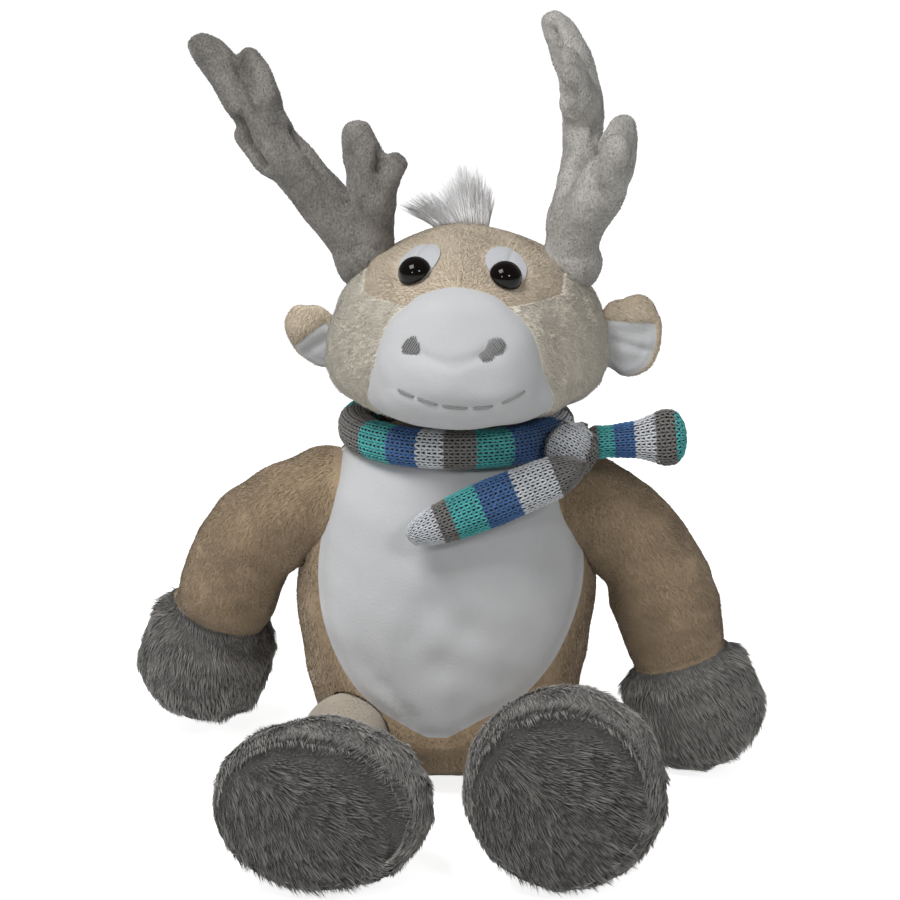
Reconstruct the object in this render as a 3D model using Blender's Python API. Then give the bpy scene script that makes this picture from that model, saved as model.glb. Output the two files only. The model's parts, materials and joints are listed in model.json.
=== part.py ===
"""A seated plush deer: sewn covers over stuffing, with a knitted scarf round its neck.

Metres, +Z up. The deer faces -Y and sits on z = 0, with the origin under the middle of its seat.
Left and right in the names are those of someone who looks at its face, so left is the -X side.
"""

import math

import bmesh
import bpy
from mathutils import Matrix, Vector

# Sewing
CLOTH = 0.0018
SEAM_GAP = 0.0003
FILL_GAP = 0.0006
OVERRUN = 0.012

# Torso
TORSO_WIDTH = 0.1126
TORSO_DEPTH = 0.095
TORSO_HEIGHT = 0.1305
SEAT_RADIUS = 0.023
BAG_HEIGHT = 0.034
TORSO_SIDES = 20
# height, half-width and half-depth, from the seat up to the neck
TORSO_SHARES = (
    (0.0, 0.51, 0.54),
    (0.015, 0.59, 0.64),
    (0.054, 0.7, 0.775),
    (0.123, 0.8, 0.88),
    (0.23, 0.885, 0.957),
    (0.345, 0.941, 0.989),
    (0.46, 0.989, 1.0),
    (0.575, 1.0, 0.979),
    (0.69, 0.959, 0.926),
    (0.797, 0.888, 0.863),
    (0.889, 0.808, 0.789),
    (0.966, 0.693, 0.684),
    (1.0, 0.6, 0.59),
)
# The belly seam as the front shows it: height, left edge and right edge
BELLY_SHARES = (
    (0.205, -0.14, 0.02),
    (0.24, -0.31, 0.16),
    (0.31, -0.56, 0.49),
    (0.4, -0.72, 0.7),
    (0.5, -0.81, 0.83),
    (0.6, -0.84, 0.9),
    (0.74, -0.79, 0.88),
    (0.88, -0.7, 0.78),
    (1.1, -0.6, 0.68),
)

# Neck
NECK_RADIUS = 0.0235
NECK_RISE = 0.0175
NECK_SHIFT = 0.0035
NECK_SIDES = 18
NECK_RINGS = 12

# Head, measured from the middle of the neck's ball
HEAD_WIDTH = 0.1025
HEAD_LENGTH = 0.1135
HEAD_HEIGHT = 0.067
HEAD_DROP = 0.0025
HEAD_LEAN = 0.004
HEAD_TURN_DEG = -4
HEAD_SIDES = 20
STEP_SHARE = 0.01
# place along the head, half-width, and the heights of the top, widest line and underside
HEAD_SHARES = (
    (-0.599, 0.0, 0.343, 0.343, 0.343),
    (-0.586, 0.229, 0.478, 0.336, 0.216),
    (-0.555, 0.40, 0.575, 0.328, 0.119),
    (-0.502, 0.52, 0.69, 0.321, 0.04),
    (-0.4405, 0.585, 0.785, 0.313, 0.01),
    (-0.388, 0.667, 0.84, 0.306, 0.0),
    (-0.317, 0.80, 0.885, 0.299, 0.0),
    (-0.211, 0.933, 0.93, 0.291, 0.0),
    (-0.0705, 1.0, 0.957, 0.291, 0.0),
    (0.0705, 0.99, 0.95, 0.299, 0.0075),
    (0.194, 0.886, 0.885, 0.336, 0.045),
    (0.2996, 0.686, 0.784, 0.366, 0.112),
    (0.37, 0.419, 0.634, 0.396, 0.216),
    (0.401, 0.0, 0.425, 0.425, 0.425),
)
HEAD_UNDERSIDE_POWER = 3.1
MUZZLE_SEAM_SHARE = -0.434
BACK_SEAM_SHARE = 0.16
CROWN_HALF_WIDTH = 0.036
CROWN_NOSE_HALF_WIDTH = 0.024
CROWN_SHARE = 0.55
# The mouth: place across the muzzle, and height in the head
MOUTH_WIDTH = 0.0455
MOUTH_SHIFT = 0.0018
MOUTH_SHARES = (
    (-1.0, 0.27),
    (-0.62, 0.225),
    (-0.2, 0.19),
    (0.2, 0.182),
    (0.62, 0.208),
    (1.0, 0.262),
)
MOUTH_STITCH_HEIGHT = 0.0013
MOUTH_LINK_HEIGHT = 0.0006
MOUTH_STITCHES = 6
THREAD = 0.0009

# Eyes
EYE_RADIUS = 0.0061
EYE_SHANK_RADIUS = 0.0016
EYE_SHANK_LENGTH = 0.0085
EYE_SPACING = 0.032
EYE_SHARE = -0.345
EYE_SIDES = 14
EYE_RINGS = 5
# twice the radius of the brow under an eye
EYE_CURVE = 0.036
WASHER_RADIUS = 0.0055
WASHER_THICKNESS = 0.0012
PATCH_HALF_WIDTH = 0.0075
PATCH_HALF_HEIGHT = 0.0102
PATCH_RISE = 0.0055
PATCH_THICKNESS = 0.0006

# Nostrils
NOSTRIL_SPACING = 0.0285
NOSTRIL_HALF_WIDTH = 0.0034
NOSTRIL_HALF_HEIGHT = 0.0026
NOSTRIL_SHARE = 0.49
NOSTRIL_SHIFT = -0.0015
NOSTRIL_TILT_DEG = 38
NOSTRIL_SIDES = 12

# Ears
EAR_LENGTH = 0.0208
EAR_HEIGHT = 0.032
EAR_THICKNESS = 0.0085
EAR_ROOT_RADIUS = 0.0036
EAR_RIM = 0.0032
EAR_SHARE = 0.37
EAR_BACK_SHARE = 0.035
EAR_DROOP_DEG = 8
EAR_LEFT_TURN_DEG = -30
EAR_RIGHT_TURN_DEG = 0
EAR_SIDES = 14
EAR_LINING_SHARE = 0.52
# place along the ear from its root, height, and how far the thickness goes from root to full
EAR_SHARES = (
    (0.03, 0.42, 0.0),
    (0.14, 0.72, 0.0),
    (0.32, 0.84, 0.2),
    (0.52, 0.95, 0.8),
    (0.72, 0.96, 1.0),
    (0.88, 0.8, 1.0),
    (0.97, 0.5, 0.9),
)

# Antlers
ANTLER_HEIGHT = 0.086
ANTLER_ROOT_RADIUS = 0.0118
ANTLER_LIFT = 0.0018
ANTLER_SPACING = 0.074
ANTLER_SHARE = 0.02
ANTLER_SIDES = 10
ANTLER_SOCKET_SIDES = 14
ANTLER_SOCKET_RINGS = 10
# Each stem: outwards, backwards and up from the root, and its half-width
ANTLER_LEFT_SHARES = (
    (
        (0.0, 0.0, 0.0, 0.122),
        (0.051, 0.0, 0.08, 0.11),
        (0.132, 0.01, 0.189, 0.112),
        (0.248, 0.02, 0.326, 0.109),
        (0.363, 0.035, 0.465, 0.107),
        (0.469, 0.045, 0.615, 0.1),
        (0.563, 0.05, 0.732, 0.088),
        (0.644, 0.055, 0.839, 0.075),
        (0.70, 0.055, 0.904, 0.058),
    ),
    (
        (0.435, 0.045, 0.616, 0.085),
        (0.456, 0.05, 0.734, 0.073),
        (0.482, 0.055, 0.833, 0.061),
        (0.49, 0.055, 0.851, 0.055),
    ),
    ((0.38, 0.03, 0.409, 0.085), (0.474, 0.04, 0.493, 0.067), (0.508, 0.045, 0.522, 0.061)),
    (
        (-0.01, 0.0, 0.02, 0.107),
        (-0.03, -0.04, 0.163, 0.105),
        (-0.038, -0.08, 0.304, 0.105),
        (-0.017, -0.09, 0.426, 0.093),
        (0.013, -0.09, 0.515, 0.079),
        (0.017, -0.09, 0.545, 0.071),
    ),
    ((-0.06, -0.08, 0.313, 0.085), (-0.115, -0.085, 0.394, 0.063), (-0.141, -0.09, 0.426, 0.054)),
)
ANTLER_RIGHT_SHARES = (
    (
        (0.0, 0.0, 0.0, 0.122),
        (0.0, 0.0, 0.09, 0.107),
        (0.0, 0.0, 0.165, 0.109),
        (0.021, 0.03, 0.279, 0.102),
        (0.038, 0.09, 0.396, 0.094),
        (0.043, 0.15, 0.512, 0.089),
        (0.038, 0.2, 0.631, 0.086),
        (0.013, 0.25, 0.737, 0.086),
        (-0.021, 0.29, 0.841, 0.088),
        (-0.064, 0.31, 0.933, 0.073),
        (-0.09, 0.315, 0.98, 0.058),
    ),
    ((0.035, 0.14, 0.62, 0.08), (0.01, 0.1, 0.74, 0.066), (-0.02, 0.08, 0.85, 0.054)),
    ((0.045, 0.14, 0.42, 0.07), (0.05, 0.26, 0.5, 0.06), (0.045, 0.31, 0.545, 0.05)),
    (
        (0.0, 0.0, 0.05, 0.095),
        (0.064, -0.06, 0.216, 0.105),
        (0.137, -0.1, 0.348, 0.105),
        (0.184, -0.12, 0.478, 0.093),
        (0.209, -0.12, 0.575, 0.062),
        (0.213, -0.12, 0.597, 0.054),
    ),
    ((0.158, -0.14, 0.4, 0.085), (0.185, -0.2, 0.49, 0.063), (0.19, -0.23, 0.53, 0.054)),
)
ANTLER_LEFT_DEPTH_SHARE = 0.8
ANTLER_RIGHT_DEPTH_SHARE = 1.15

# Hair tuft
TUFT_WIDTH = 0.027
TUFT_HEIGHT = 0.023
TUFT_SHIFT = -0.0028
TUFT_THICKNESS = 0.009
TUFT_BACK_SHARE = 0.1
TUFT_SIDES = 12
# height, half-width, half-thickness and lean to the left
TUFT_SHARES = (
    (-0.35, 0.75, 0.8, 0.0),
    (0.0, 0.95, 1.0, 0.0),
    (0.3, 1.0, 0.95, 0.05),
    (0.65, 0.85, 0.7, 0.18),
    (0.9, 0.6, 0.4, 0.3),
)

# Scarf
SCARF_CLEARANCE = 0.0045
COLLAR_HEIGHT = 0.0138
COLLAR_THICKNESS = 0.0105
COLLAR_WIDTH = 0.088
COLLAR_DEPTH = 0.083
COLLAR_SIDES = 10
COLLAR_POWER = 2.4
COLLAR_STEPS = 32
KNOT_WIDTH = 0.02
KNOT_DEPTH = 0.018
KNOT_OUT_SHARE = 0.5
KNOT_HEIGHT = 0.0205
KNOT_DROP = 0.0015
KNOT_SIDES = 14
KNOT_RINGS = 8
KNOT_ANGLE_DEG = -38
TAIL_LEFT_LENGTH = 0.0625
TAIL_RIGHT_LENGTH = 0.0305
TAIL_WIDTH = 0.0165
TAIL_THICKNESS = 0.0095
TAIL_ROOT_RADIUS = 0.0038
TAIL_ROOT_RING_DEG = (-45, 0)
TAIL_CLEARANCE = 0.0006
TAIL_SIDES = 12
# where a tail's root sits on the knot: along the collar, outwards from it, and up
TAIL_LEFT_START_SHARES = (-0.7, -0.75, -0.2)
TAIL_RIGHT_START_SHARES = (1.0, -0.35, 0.1)
# place along the tail, half-width and half-thickness
TAIL_LEFT_SHARES = (
    (0.14, 0.72, 0.9),
    (0.3, 0.92, 1.0),
    (0.5, 0.98, 1.0),
    (0.72, 1.04, 1.0),
    (0.88, 1.04, 0.9),
    (0.97, 0.7, 0.5),
)
TAIL_RIGHT_SHARES = (
    (0.2, 0.62, 0.9),
    (0.4, 0.8, 1.0),
    (0.65, 1.12, 1.0),
    (0.86, 1.25, 0.9),
    (0.97, 1.0, 0.5),
)
TAIL_LEFT_DROP_DEG = 22
TAIL_LEFT_FORWARD_DEG = 4
TAIL_RIGHT_DROP_DEG = -5
TAIL_RIGHT_FORWARD_DEG = 0

# Arms
LIMB_SIDES = 14
SHOULDER_SHARE = 0.812
SHOULDER_DEPTH = 0.0115
SHOULDER_CLEARANCE = 0.0009
ARM_RADIUS = 0.0195
ARM_GAP = 0.0018
ARM_LEFT_REACH = 0.029
ARM_RIGHT_REACH = 0.03
HOOF_LENGTH = 0.0425
HOOF_RADIUS = 0.0255
FLOOR_GAP = 0.0008
ARM_LEFT_SWING_DEG = 26
ARM_RIGHT_SWING_DEG = 0
# The root dome: radius and depth into the torso
ARM_ROOT_SHARES = ((0.0, 1.0), (0.5, 0.88), (0.83, 0.55), (1.0, 0.1))
# The sleeve: outwards from the torso's side, down to the cuff, half-width, and slope in degrees
ARM_SHARES = (
    (0.0, 0.0, 0.9, 0.0),
    (0.215, 0.12, 0.965, 20.0),
    (0.425, 0.265, 0.985, 36.0),
    (0.665, 0.49, 1.005, 54.6),
    (0.85, 0.72, 1.015, 65.0),
    (1.0, 1.0, 1.03, 72.5),
)
# The hoof: place along it and half-width
HOOF_SHARES = (
    (0.0, 0.8),
    (0.07, 0.93),
    (0.25, 1.0),
    (0.5, 1.03),
    (0.72, 0.97),
    (0.88, 0.78),
    (0.97, 0.5),
)
HOOF_LEAN_SHARE = 0.3
HOOF_TURN_SHARE = 0.33

# Legs and feet
HIP_SPACING = 0.074
HIP_HEIGHT = 0.0225
HIP_INSET = 0.0138
HIP_RADIUS = 0.0172
HIP_SOCKET_RINGS = 10
HIP_RING_DEG = (-50, -10, 25)
LEG_RADIUS = 0.0148
LEG_LENGTH = 0.055
FOOT_LEFT_OUT = 0.046
FOOT_RIGHT_OUT = 0.038
FOOT_LENGTH = 0.046
FOOT_RADIUS = 0.033
FOOT_LEFT_OVAL_SHARES = (1.04, 0.87)
FOOT_RIGHT_OVAL_SHARES = (0.96, 1.0)
FOOT_LEFT_TURN_DEG = -14
FOOT_RIGHT_TURN_DEG = -9
FOOT_PITCH_DEG = 6
SOLE_CROWN = 0.0055
SOLE_FILL_SHARE = 0.6
# The leg past its root: place towards the ankle and half-width
LEG_SHARES = ((0.42, 0.82), (0.75, 0.93))
# The foot: place back from the sole and half-width
FOOT_SHARES = (
    (0.0, 0.94),
    (0.14, 1.0),
    (0.34, 1.04),
    (0.56, 0.99),
    (0.76, 0.86),
    (0.92, 0.67),
    (1.0, 0.5),
)
# The sole: share of its radius and of its crown
SOLE_SHARES = ((0.5, 0.8), (0.85, 0.35), (1.0, 0.0))

COLOURS = {
    "beige": (0.42, 0.33, 0.24),
    "cream": (0.58, 0.52, 0.43),
    "white": (0.78, 0.78, 0.79),
    "grey": (0.15, 0.145, 0.14),
    "antler": (0.3, 0.285, 0.27),
    "thread": (0.22, 0.22, 0.22),
    "satin": (0.82, 0.83, 0.86),
    "eye": (0.006, 0.004, 0.003),
    "washer": (0.75, 0.75, 0.72),
    "fill": (0.85, 0.85, 0.82),
    "pellets": (0.6, 0.62, 0.66),
    "knit": (0.1, 0.42, 0.45),
}
ROUGHNESS = {"eye": 0.08, "satin": 0.35, "washer": 0.45, "pellets": 0.5}


def finish(name):
    """The material of this name, made once."""
    found = bpy.data.materials.get(name)
    if found:
        return found
    made = bpy.data.materials.new(name)
    made.use_nodes = True
    shader = made.node_tree.nodes["Principled BSDF"]
    shader.inputs["Base Color"].default_value = (*COLOURS[name], 1)
    shader.inputs["Roughness"].default_value = ROUGHNESS.get(name, 0.9)
    shader.inputs["Metallic"].default_value = 0
    return made


def ellipse(centre, across, up, sides, power=2.0):
    """Points round an oval, from the across direction towards the up direction."""
    points = []
    for i in range(sides):
        turn = math.tau * i / sides
        c = math.cos(turn)
        s = math.sin(turn)
        wide = math.copysign(abs(c) ** (2 / power), c)
        high = math.copysign(abs(s) ** (2 / power), s)
        points.append(Vector(centre) + Vector(across) * wide + Vector(up) * high)
    return points


def skin(rings, closed=False):
    """A mesh through the rings. A ring of one point is a pole, and the other end rings are filled."""
    bm = bmesh.new()
    rows = [[bm.verts.new(p) for p in ring] for ring in rings]
    pairs = list(zip(rows, rows[1:]))
    if closed:
        pairs.append((rows[-1], rows[0]))
    for low, high in pairs:
        count = max(len(low), len(high))
        for i in range(count):
            j = (i + 1) % count
            if len(low) == 1:
                bm.faces.new((low[0], high[j], high[i]))
            elif len(high) == 1:
                bm.faces.new((low[i], low[j], high[0]))
            else:
                bm.faces.new((low[i], low[j], high[j]))
                bm.faces.new((low[i], high[j], high[i]))
    if not closed:
        for row in (rows[0], rows[-1]):
            if len(row) > 1:
                bm.faces.new(row)
    bmesh.ops.recalc_face_normals(bm, faces=bm.faces)
    if bm.calc_volume(signed=True) < 0:
        bmesh.ops.reverse_faces(bm, faces=bm.faces)
    mesh = bpy.data.meshes.new("skin")
    bm.to_mesh(mesh)
    bm.free()
    mesh.shade_smooth()
    return mesh


def prism(outline, start, end):
    """A mesh from the outline moved by start to the outline moved by end."""
    return skin([[Vector(p) + Vector(start) for p in outline], [Vector(p) + Vector(end) for p in outline]])


def box(low, high):
    """A box between two corners."""
    outline = ((low[0], low[1], 0), (high[0], low[1], 0), (high[0], high[1], 0), (low[0], high[1], 0))
    return prism(outline, (0, 0, low[2]), (0, 0, high[2]))


def ball(radius, sides, rings):
    """A sphere round the origin, as rings about Z."""
    rows = [[Vector((0, 0, -radius))]]
    for i in range(1, rings):
        turn = math.pi * i / rings
        wide = radius * math.sin(turn)
        rows.append(ellipse((0, 0, -radius * math.cos(turn)), (wide, 0, 0), (0, wide, 0), sides))
    rows.append([Vector((0, 0, radius))])
    return skin(rows)


def clear_ball(radius, sides, rings):
    """A faceted sphere that stays the seam gap clear of a ball of this radius."""
    flats = math.cos(math.pi / sides) * math.cos(math.pi / rings / 2)
    return ball((radius + SEAM_GAP) / flats, sides, rings)


def turned(profile, sides, axis="Z"):
    """A turned shape from (radius, place along the axis) points. A radius of zero is a pole."""
    rows = []
    for radius, along in profile:
        if radius == 0:
            rows.append([Vector((0, 0, along))])
        else:
            rows.append(ellipse((0, 0, along), (radius, 0, 0), (0, radius, 0), sides))
    mesh = skin(rows)
    if axis == "X":
        mesh.transform(Matrix.Rotation(math.pi / 2, 4, "Y"))
    return mesh


def stem(points, radii, sides, depth_share, root_ball):
    """A round-ended stem through the points, in planes square to it, thinner or thicker along Y by the share."""
    points = [Vector(p) for p in points]
    rings = []
    ways = []
    for i in range(len(points)):
        before = points[max(i - 1, 0)]
        after = points[min(i + 1, len(points) - 1)]
        ways.append((after - before).normalized())

    def ring(centre, way, radius):
        across = Vector((0, 1, 0)).cross(way).normalized()
        back = way.cross(across).normalized()
        return ellipse(centre, across * radius, back * radius * depth_share, sides)

    first = radii[0]
    if root_ball:
        ways[0] = Vector((0, 0, 1))
    rings.append([points[0] - ways[0] * first])
    half = math.sqrt(0.5)
    rings.append(ring(points[0] - ways[0] * first * half, ways[0], first * half))
    for point, way, radius in zip(points, ways, radii):
        rings.append(ring(point, way, radius))
    last = radii[-1]
    rings.append(ring(points[-1] + ways[-1] * last * half, ways[-1], last * half))
    rings.append([points[-1] + ways[-1] * last])
    return skin(rings)


def place(name, mesh, frame=None, parent=None):
    """An object of this mesh. Its parent is an empty on a joint's axis, and frame is in the parent's space."""
    made = bpy.data.objects.new(name, mesh)
    bpy.context.scene.collection.objects.link(made)
    made.parent = parent
    made.matrix_local = frame or Matrix.Identity(4)
    return made


def piece(name, mesh, colour, frame=None, parent=None):
    """A piece of the deer."""
    made = place(name, mesh, frame, parent)
    made.data.materials.append(finish(colour))
    return made


def helper(name, mesh, frame=None, parent=None):
    """A shape that only cuts others."""
    made = place(name, mesh, frame, parent)
    made.hide_render = True
    made.display_type = "WIRE"
    return made


def axis(name, frame, parent=None):
    """An empty on a joint's axis."""
    made = place(name, None, frame, parent)
    made.empty_display_size = NECK_RADIUS
    return made


def combine(target, operation, *others):
    """Adds one Boolean for each other shape."""
    for other in others:
        made = target.modifiers.new(other.name, "BOOLEAN")
        made.operation = operation
        made.object = other
        made.solver = "EXACT"
    return target


def cut(target, *others):
    return combine(target, "DIFFERENCE", *others)


def keep(target, *others):
    return combine(target, "INTERSECT", *others)


def between(rows, share, column):
    """The value in a column of a table, at a share of its first column."""
    for low, high in zip(rows, rows[1:]):
        if share <= high[0]:
            part = max(share - low[0], 0) / (high[0] - low[0])
            return low[column] + (high[column] - low[column]) * part
    return rows[-1][column]


def torso_half(height, column):
    """The torso's half-width (column 1) or half-depth (column 2) at a height."""
    size = TORSO_WIDTH if column == 1 else TORSO_DEPTH
    return between(TORSO_SHARES, height / TORSO_HEIGHT, column) * size / 2


def torso_rings(inset):
    """Rings of the torso's form, drawn in by the inset."""
    rings = []
    for height, wide, deep in TORSO_SHARES:
        across = wide * TORSO_WIDTH / 2 - inset
        back = deep * TORSO_DEPTH / 2 - inset
        up = inset + height * (TORSO_HEIGHT - 2 * inset)
        rings.append(ellipse((0, 0, up), (across, 0, 0), (0, back, 0), TORSO_SIDES))
    return rings


def head_section(row, inset):
    """Half-width, top, widest line and underside of the head at a row of its table."""
    half = row[1] * HEAD_WIDTH / 2 - inset
    top = row[2] * HEAD_HEIGHT - inset
    middle = row[3] * HEAD_HEIGHT
    low = row[4] * HEAD_HEIGHT + inset
    return half, top - HEAD_DROP, middle - HEAD_DROP, low - HEAD_DROP


def head_ring(along, section, sides=HEAD_SIDES):
    """A ring of the head: half an oval above the widest line and a squarer half below."""
    half, top, middle, low = section
    points = []
    for i in range(sides):
        turn = math.tau * i / sides
        c = math.cos(turn)
        s = math.sin(turn)
        power = 1.0 if s >= 0 else 2 / HEAD_UNDERSIDE_POWER
        wide = math.copysign(abs(c) ** power, c) * half
        high = abs(s) ** power * ((top - middle) if s >= 0 else (low - middle))
        points.append(Vector((HEAD_LEAN + wide, along, middle + high)))
    return points


def head_rings(inset):
    """Rings of the head's form from nose to back, drawn in by the inset."""
    rings = []
    for row in HEAD_SHARES:
        along = row[0] * (HEAD_LENGTH - 2 * inset)
        if row[1] == 0:
            rings.append([Vector((HEAD_LEAN, along, row[3] * HEAD_HEIGHT - HEAD_DROP))])
        else:
            rings.append(head_ring(along, head_section(row, inset)))
    return rings


def head_values(along_share):
    """The head's section at a place along it."""
    row = [between(HEAD_SHARES, along_share, column) for column in range(5)]
    return head_section(row, 0)


def head_surface(x, along_share, above=True):
    """A point of the head's skin above or below its widest line, in the head's own space."""
    half, top, middle, low = head_values(along_share)
    part = min(abs(x - HEAD_LEAN) / half, 1)
    if above:
        z = middle + (top - middle) * math.sqrt(1 - part**2)
    else:
        z = middle + (low - middle) * (1 - part**HEAD_UNDERSIDE_POWER) ** (1 / HEAD_UNDERSIDE_POWER)
    return Vector((x, along_share * HEAD_LENGTH, z))


def head_normal(x, along_share):
    """The outward direction of the head's skin above its widest line."""
    step = STEP_SHARE * HEAD_WIDTH
    across = head_surface(x + step, along_share) - head_surface(x - step, along_share)
    along = head_surface(x, along_share + STEP_SHARE) - head_surface(x, along_share - STEP_SHARE)
    return across.cross(along).normalized()


def build_torso(arm_sockets, hip_sockets):
    """Back cover, belly panel, seat gusset, stuffing and the bag of pellets."""
    sockets = [*arm_sockets, *hip_sockets]
    outer = helper("torso_form", skin(torso_rings(0)))
    inner = helper("torso_inside", skin(torso_rings(CLOTH)))
    left = [(row[1] * TORSO_WIDTH / 2, 0, row[0] * TORSO_HEIGHT) for row in BELLY_SHARES]
    right = [(row[2] * TORSO_WIDTH / 2, 0, row[0] * TORSO_HEIGHT) for row in reversed(BELLY_SHARES)]

    def belly(gap):
        grown = [(x - gap, y, z) for x, y, z in left] + [(x + gap, y, z) for x, y, z in right]
        grown[0] = (grown[0][0], 0, grown[0][2] - gap)
        grown[-1] = (grown[-1][0], 0, grown[-1][2] - gap)
        return prism(grown, (0, -TORSO_DEPTH, 0), (0, gap, 0))

    belly_space = helper("belly_space", belly(SEAM_GAP))
    seat_hole = SEAT_RADIUS + SEAM_GAP
    seat_space = helper("seat_space", turned(((seat_hole, -OVERRUN), (seat_hole, OVERRUN)), TORSO_SIDES))
    back = piece("torso_back", skin(torso_rings(0)), "beige")
    cut(back, belly_space, seat_space, *sockets, inner)
    panel = piece("belly_panel", belly(0), "white")
    keep(panel, outer)
    cut(panel, *sockets, inner)
    piece("seat_panel", turned(((SEAT_RADIUS, 0), (SEAT_RADIUS, CLOTH)), TORSO_SIDES), "beige")

    inset = CLOTH + FILL_GAP
    low = (-TORSO_WIDTH, -TORSO_DEPTH, -OVERRUN)
    bag_space = helper("bag_space", box(low, (TORSO_WIDTH, TORSO_DEPTH, BAG_HEIGHT + SEAM_GAP)))
    bag_zone = helper("bag_zone", box(low, (TORSO_WIDTH, TORSO_DEPTH, BAG_HEIGHT)))
    stuffing = piece("torso_stuffing", skin(torso_rings(inset)), "fill")
    cut(stuffing, bag_space, *sockets)
    bag = piece("pellet_bag", skin(torso_rings(inset)), "pellets")
    keep(bag, bag_zone)
    cut(bag, *hip_sockets)


def build_neck():
    """The stuffed plug that carries the head: flat under its turn, round under its nod."""
    base = TORSO_HEIGHT + SEAM_GAP
    turn = axis("neck_axis", Matrix.Translation((NECK_SHIFT, 0, base)))
    rise = NECK_RISE - SEAM_GAP
    start = -math.asin(rise / NECK_RADIUS)
    profile = []
    for i in range(NECK_RINGS):
        angle = start + (math.pi / 2 - start) * i / NECK_RINGS
        profile.append((NECK_RADIUS * math.cos(angle), rise + NECK_RADIUS * math.sin(angle)))
    profile.append((0, rise + NECK_RADIUS))
    piece("neck_plug", turned(profile, NECK_SIDES), "fill", parent=turn)
    nod = axis(
        "head_axis",
        Matrix.Translation((0, 0, rise)) @ Matrix.Rotation(math.radians(HEAD_TURN_DEG), 4, "Z"),
        turn,
    )
    return nod


def antler_frame(side):
    """The frame of an antler's root, off the head's skin along its normal."""
    x = HEAD_LEAN + side * ANTLER_SPACING / 2
    normal = head_normal(x, ANTLER_SHARE)
    return Matrix.Translation(head_surface(x, ANTLER_SHARE) + normal * ANTLER_LIFT)


def ear_frame(side):
    """The frame of an ear's root: Z is its fold axis."""
    half = head_values(EAR_BACK_SHARE)[0]
    z = EAR_SHARE * HEAD_HEIGHT - HEAD_DROP
    x = HEAD_LEAN + side * (half + SEAM_GAP)
    tilt = Matrix.Rotation(math.radians(side * EAR_DROOP_DEG), 4, "Y")
    turn = Matrix.Rotation(math.radians(EAR_LEFT_TURN_DEG if side < 0 else EAR_RIGHT_TURN_DEG), 4, "Z")
    return Matrix.Translation((x, EAR_BACK_SHARE * HEAD_LENGTH, z)) @ tilt @ turn


def eye_frame(side):
    """The frame of an eye on the head's skin: Z looks out of the head."""
    x = HEAD_LEAN + side * EYE_SPACING / 2
    z = head_normal(x, EYE_SHARE)
    y = Vector((0, z.z, -z.y)).normalized()
    turn = Matrix((y.cross(z), y, z)).transposed().to_4x4()
    return Matrix.Translation(head_surface(x, EYE_SHARE)) @ turn


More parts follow.
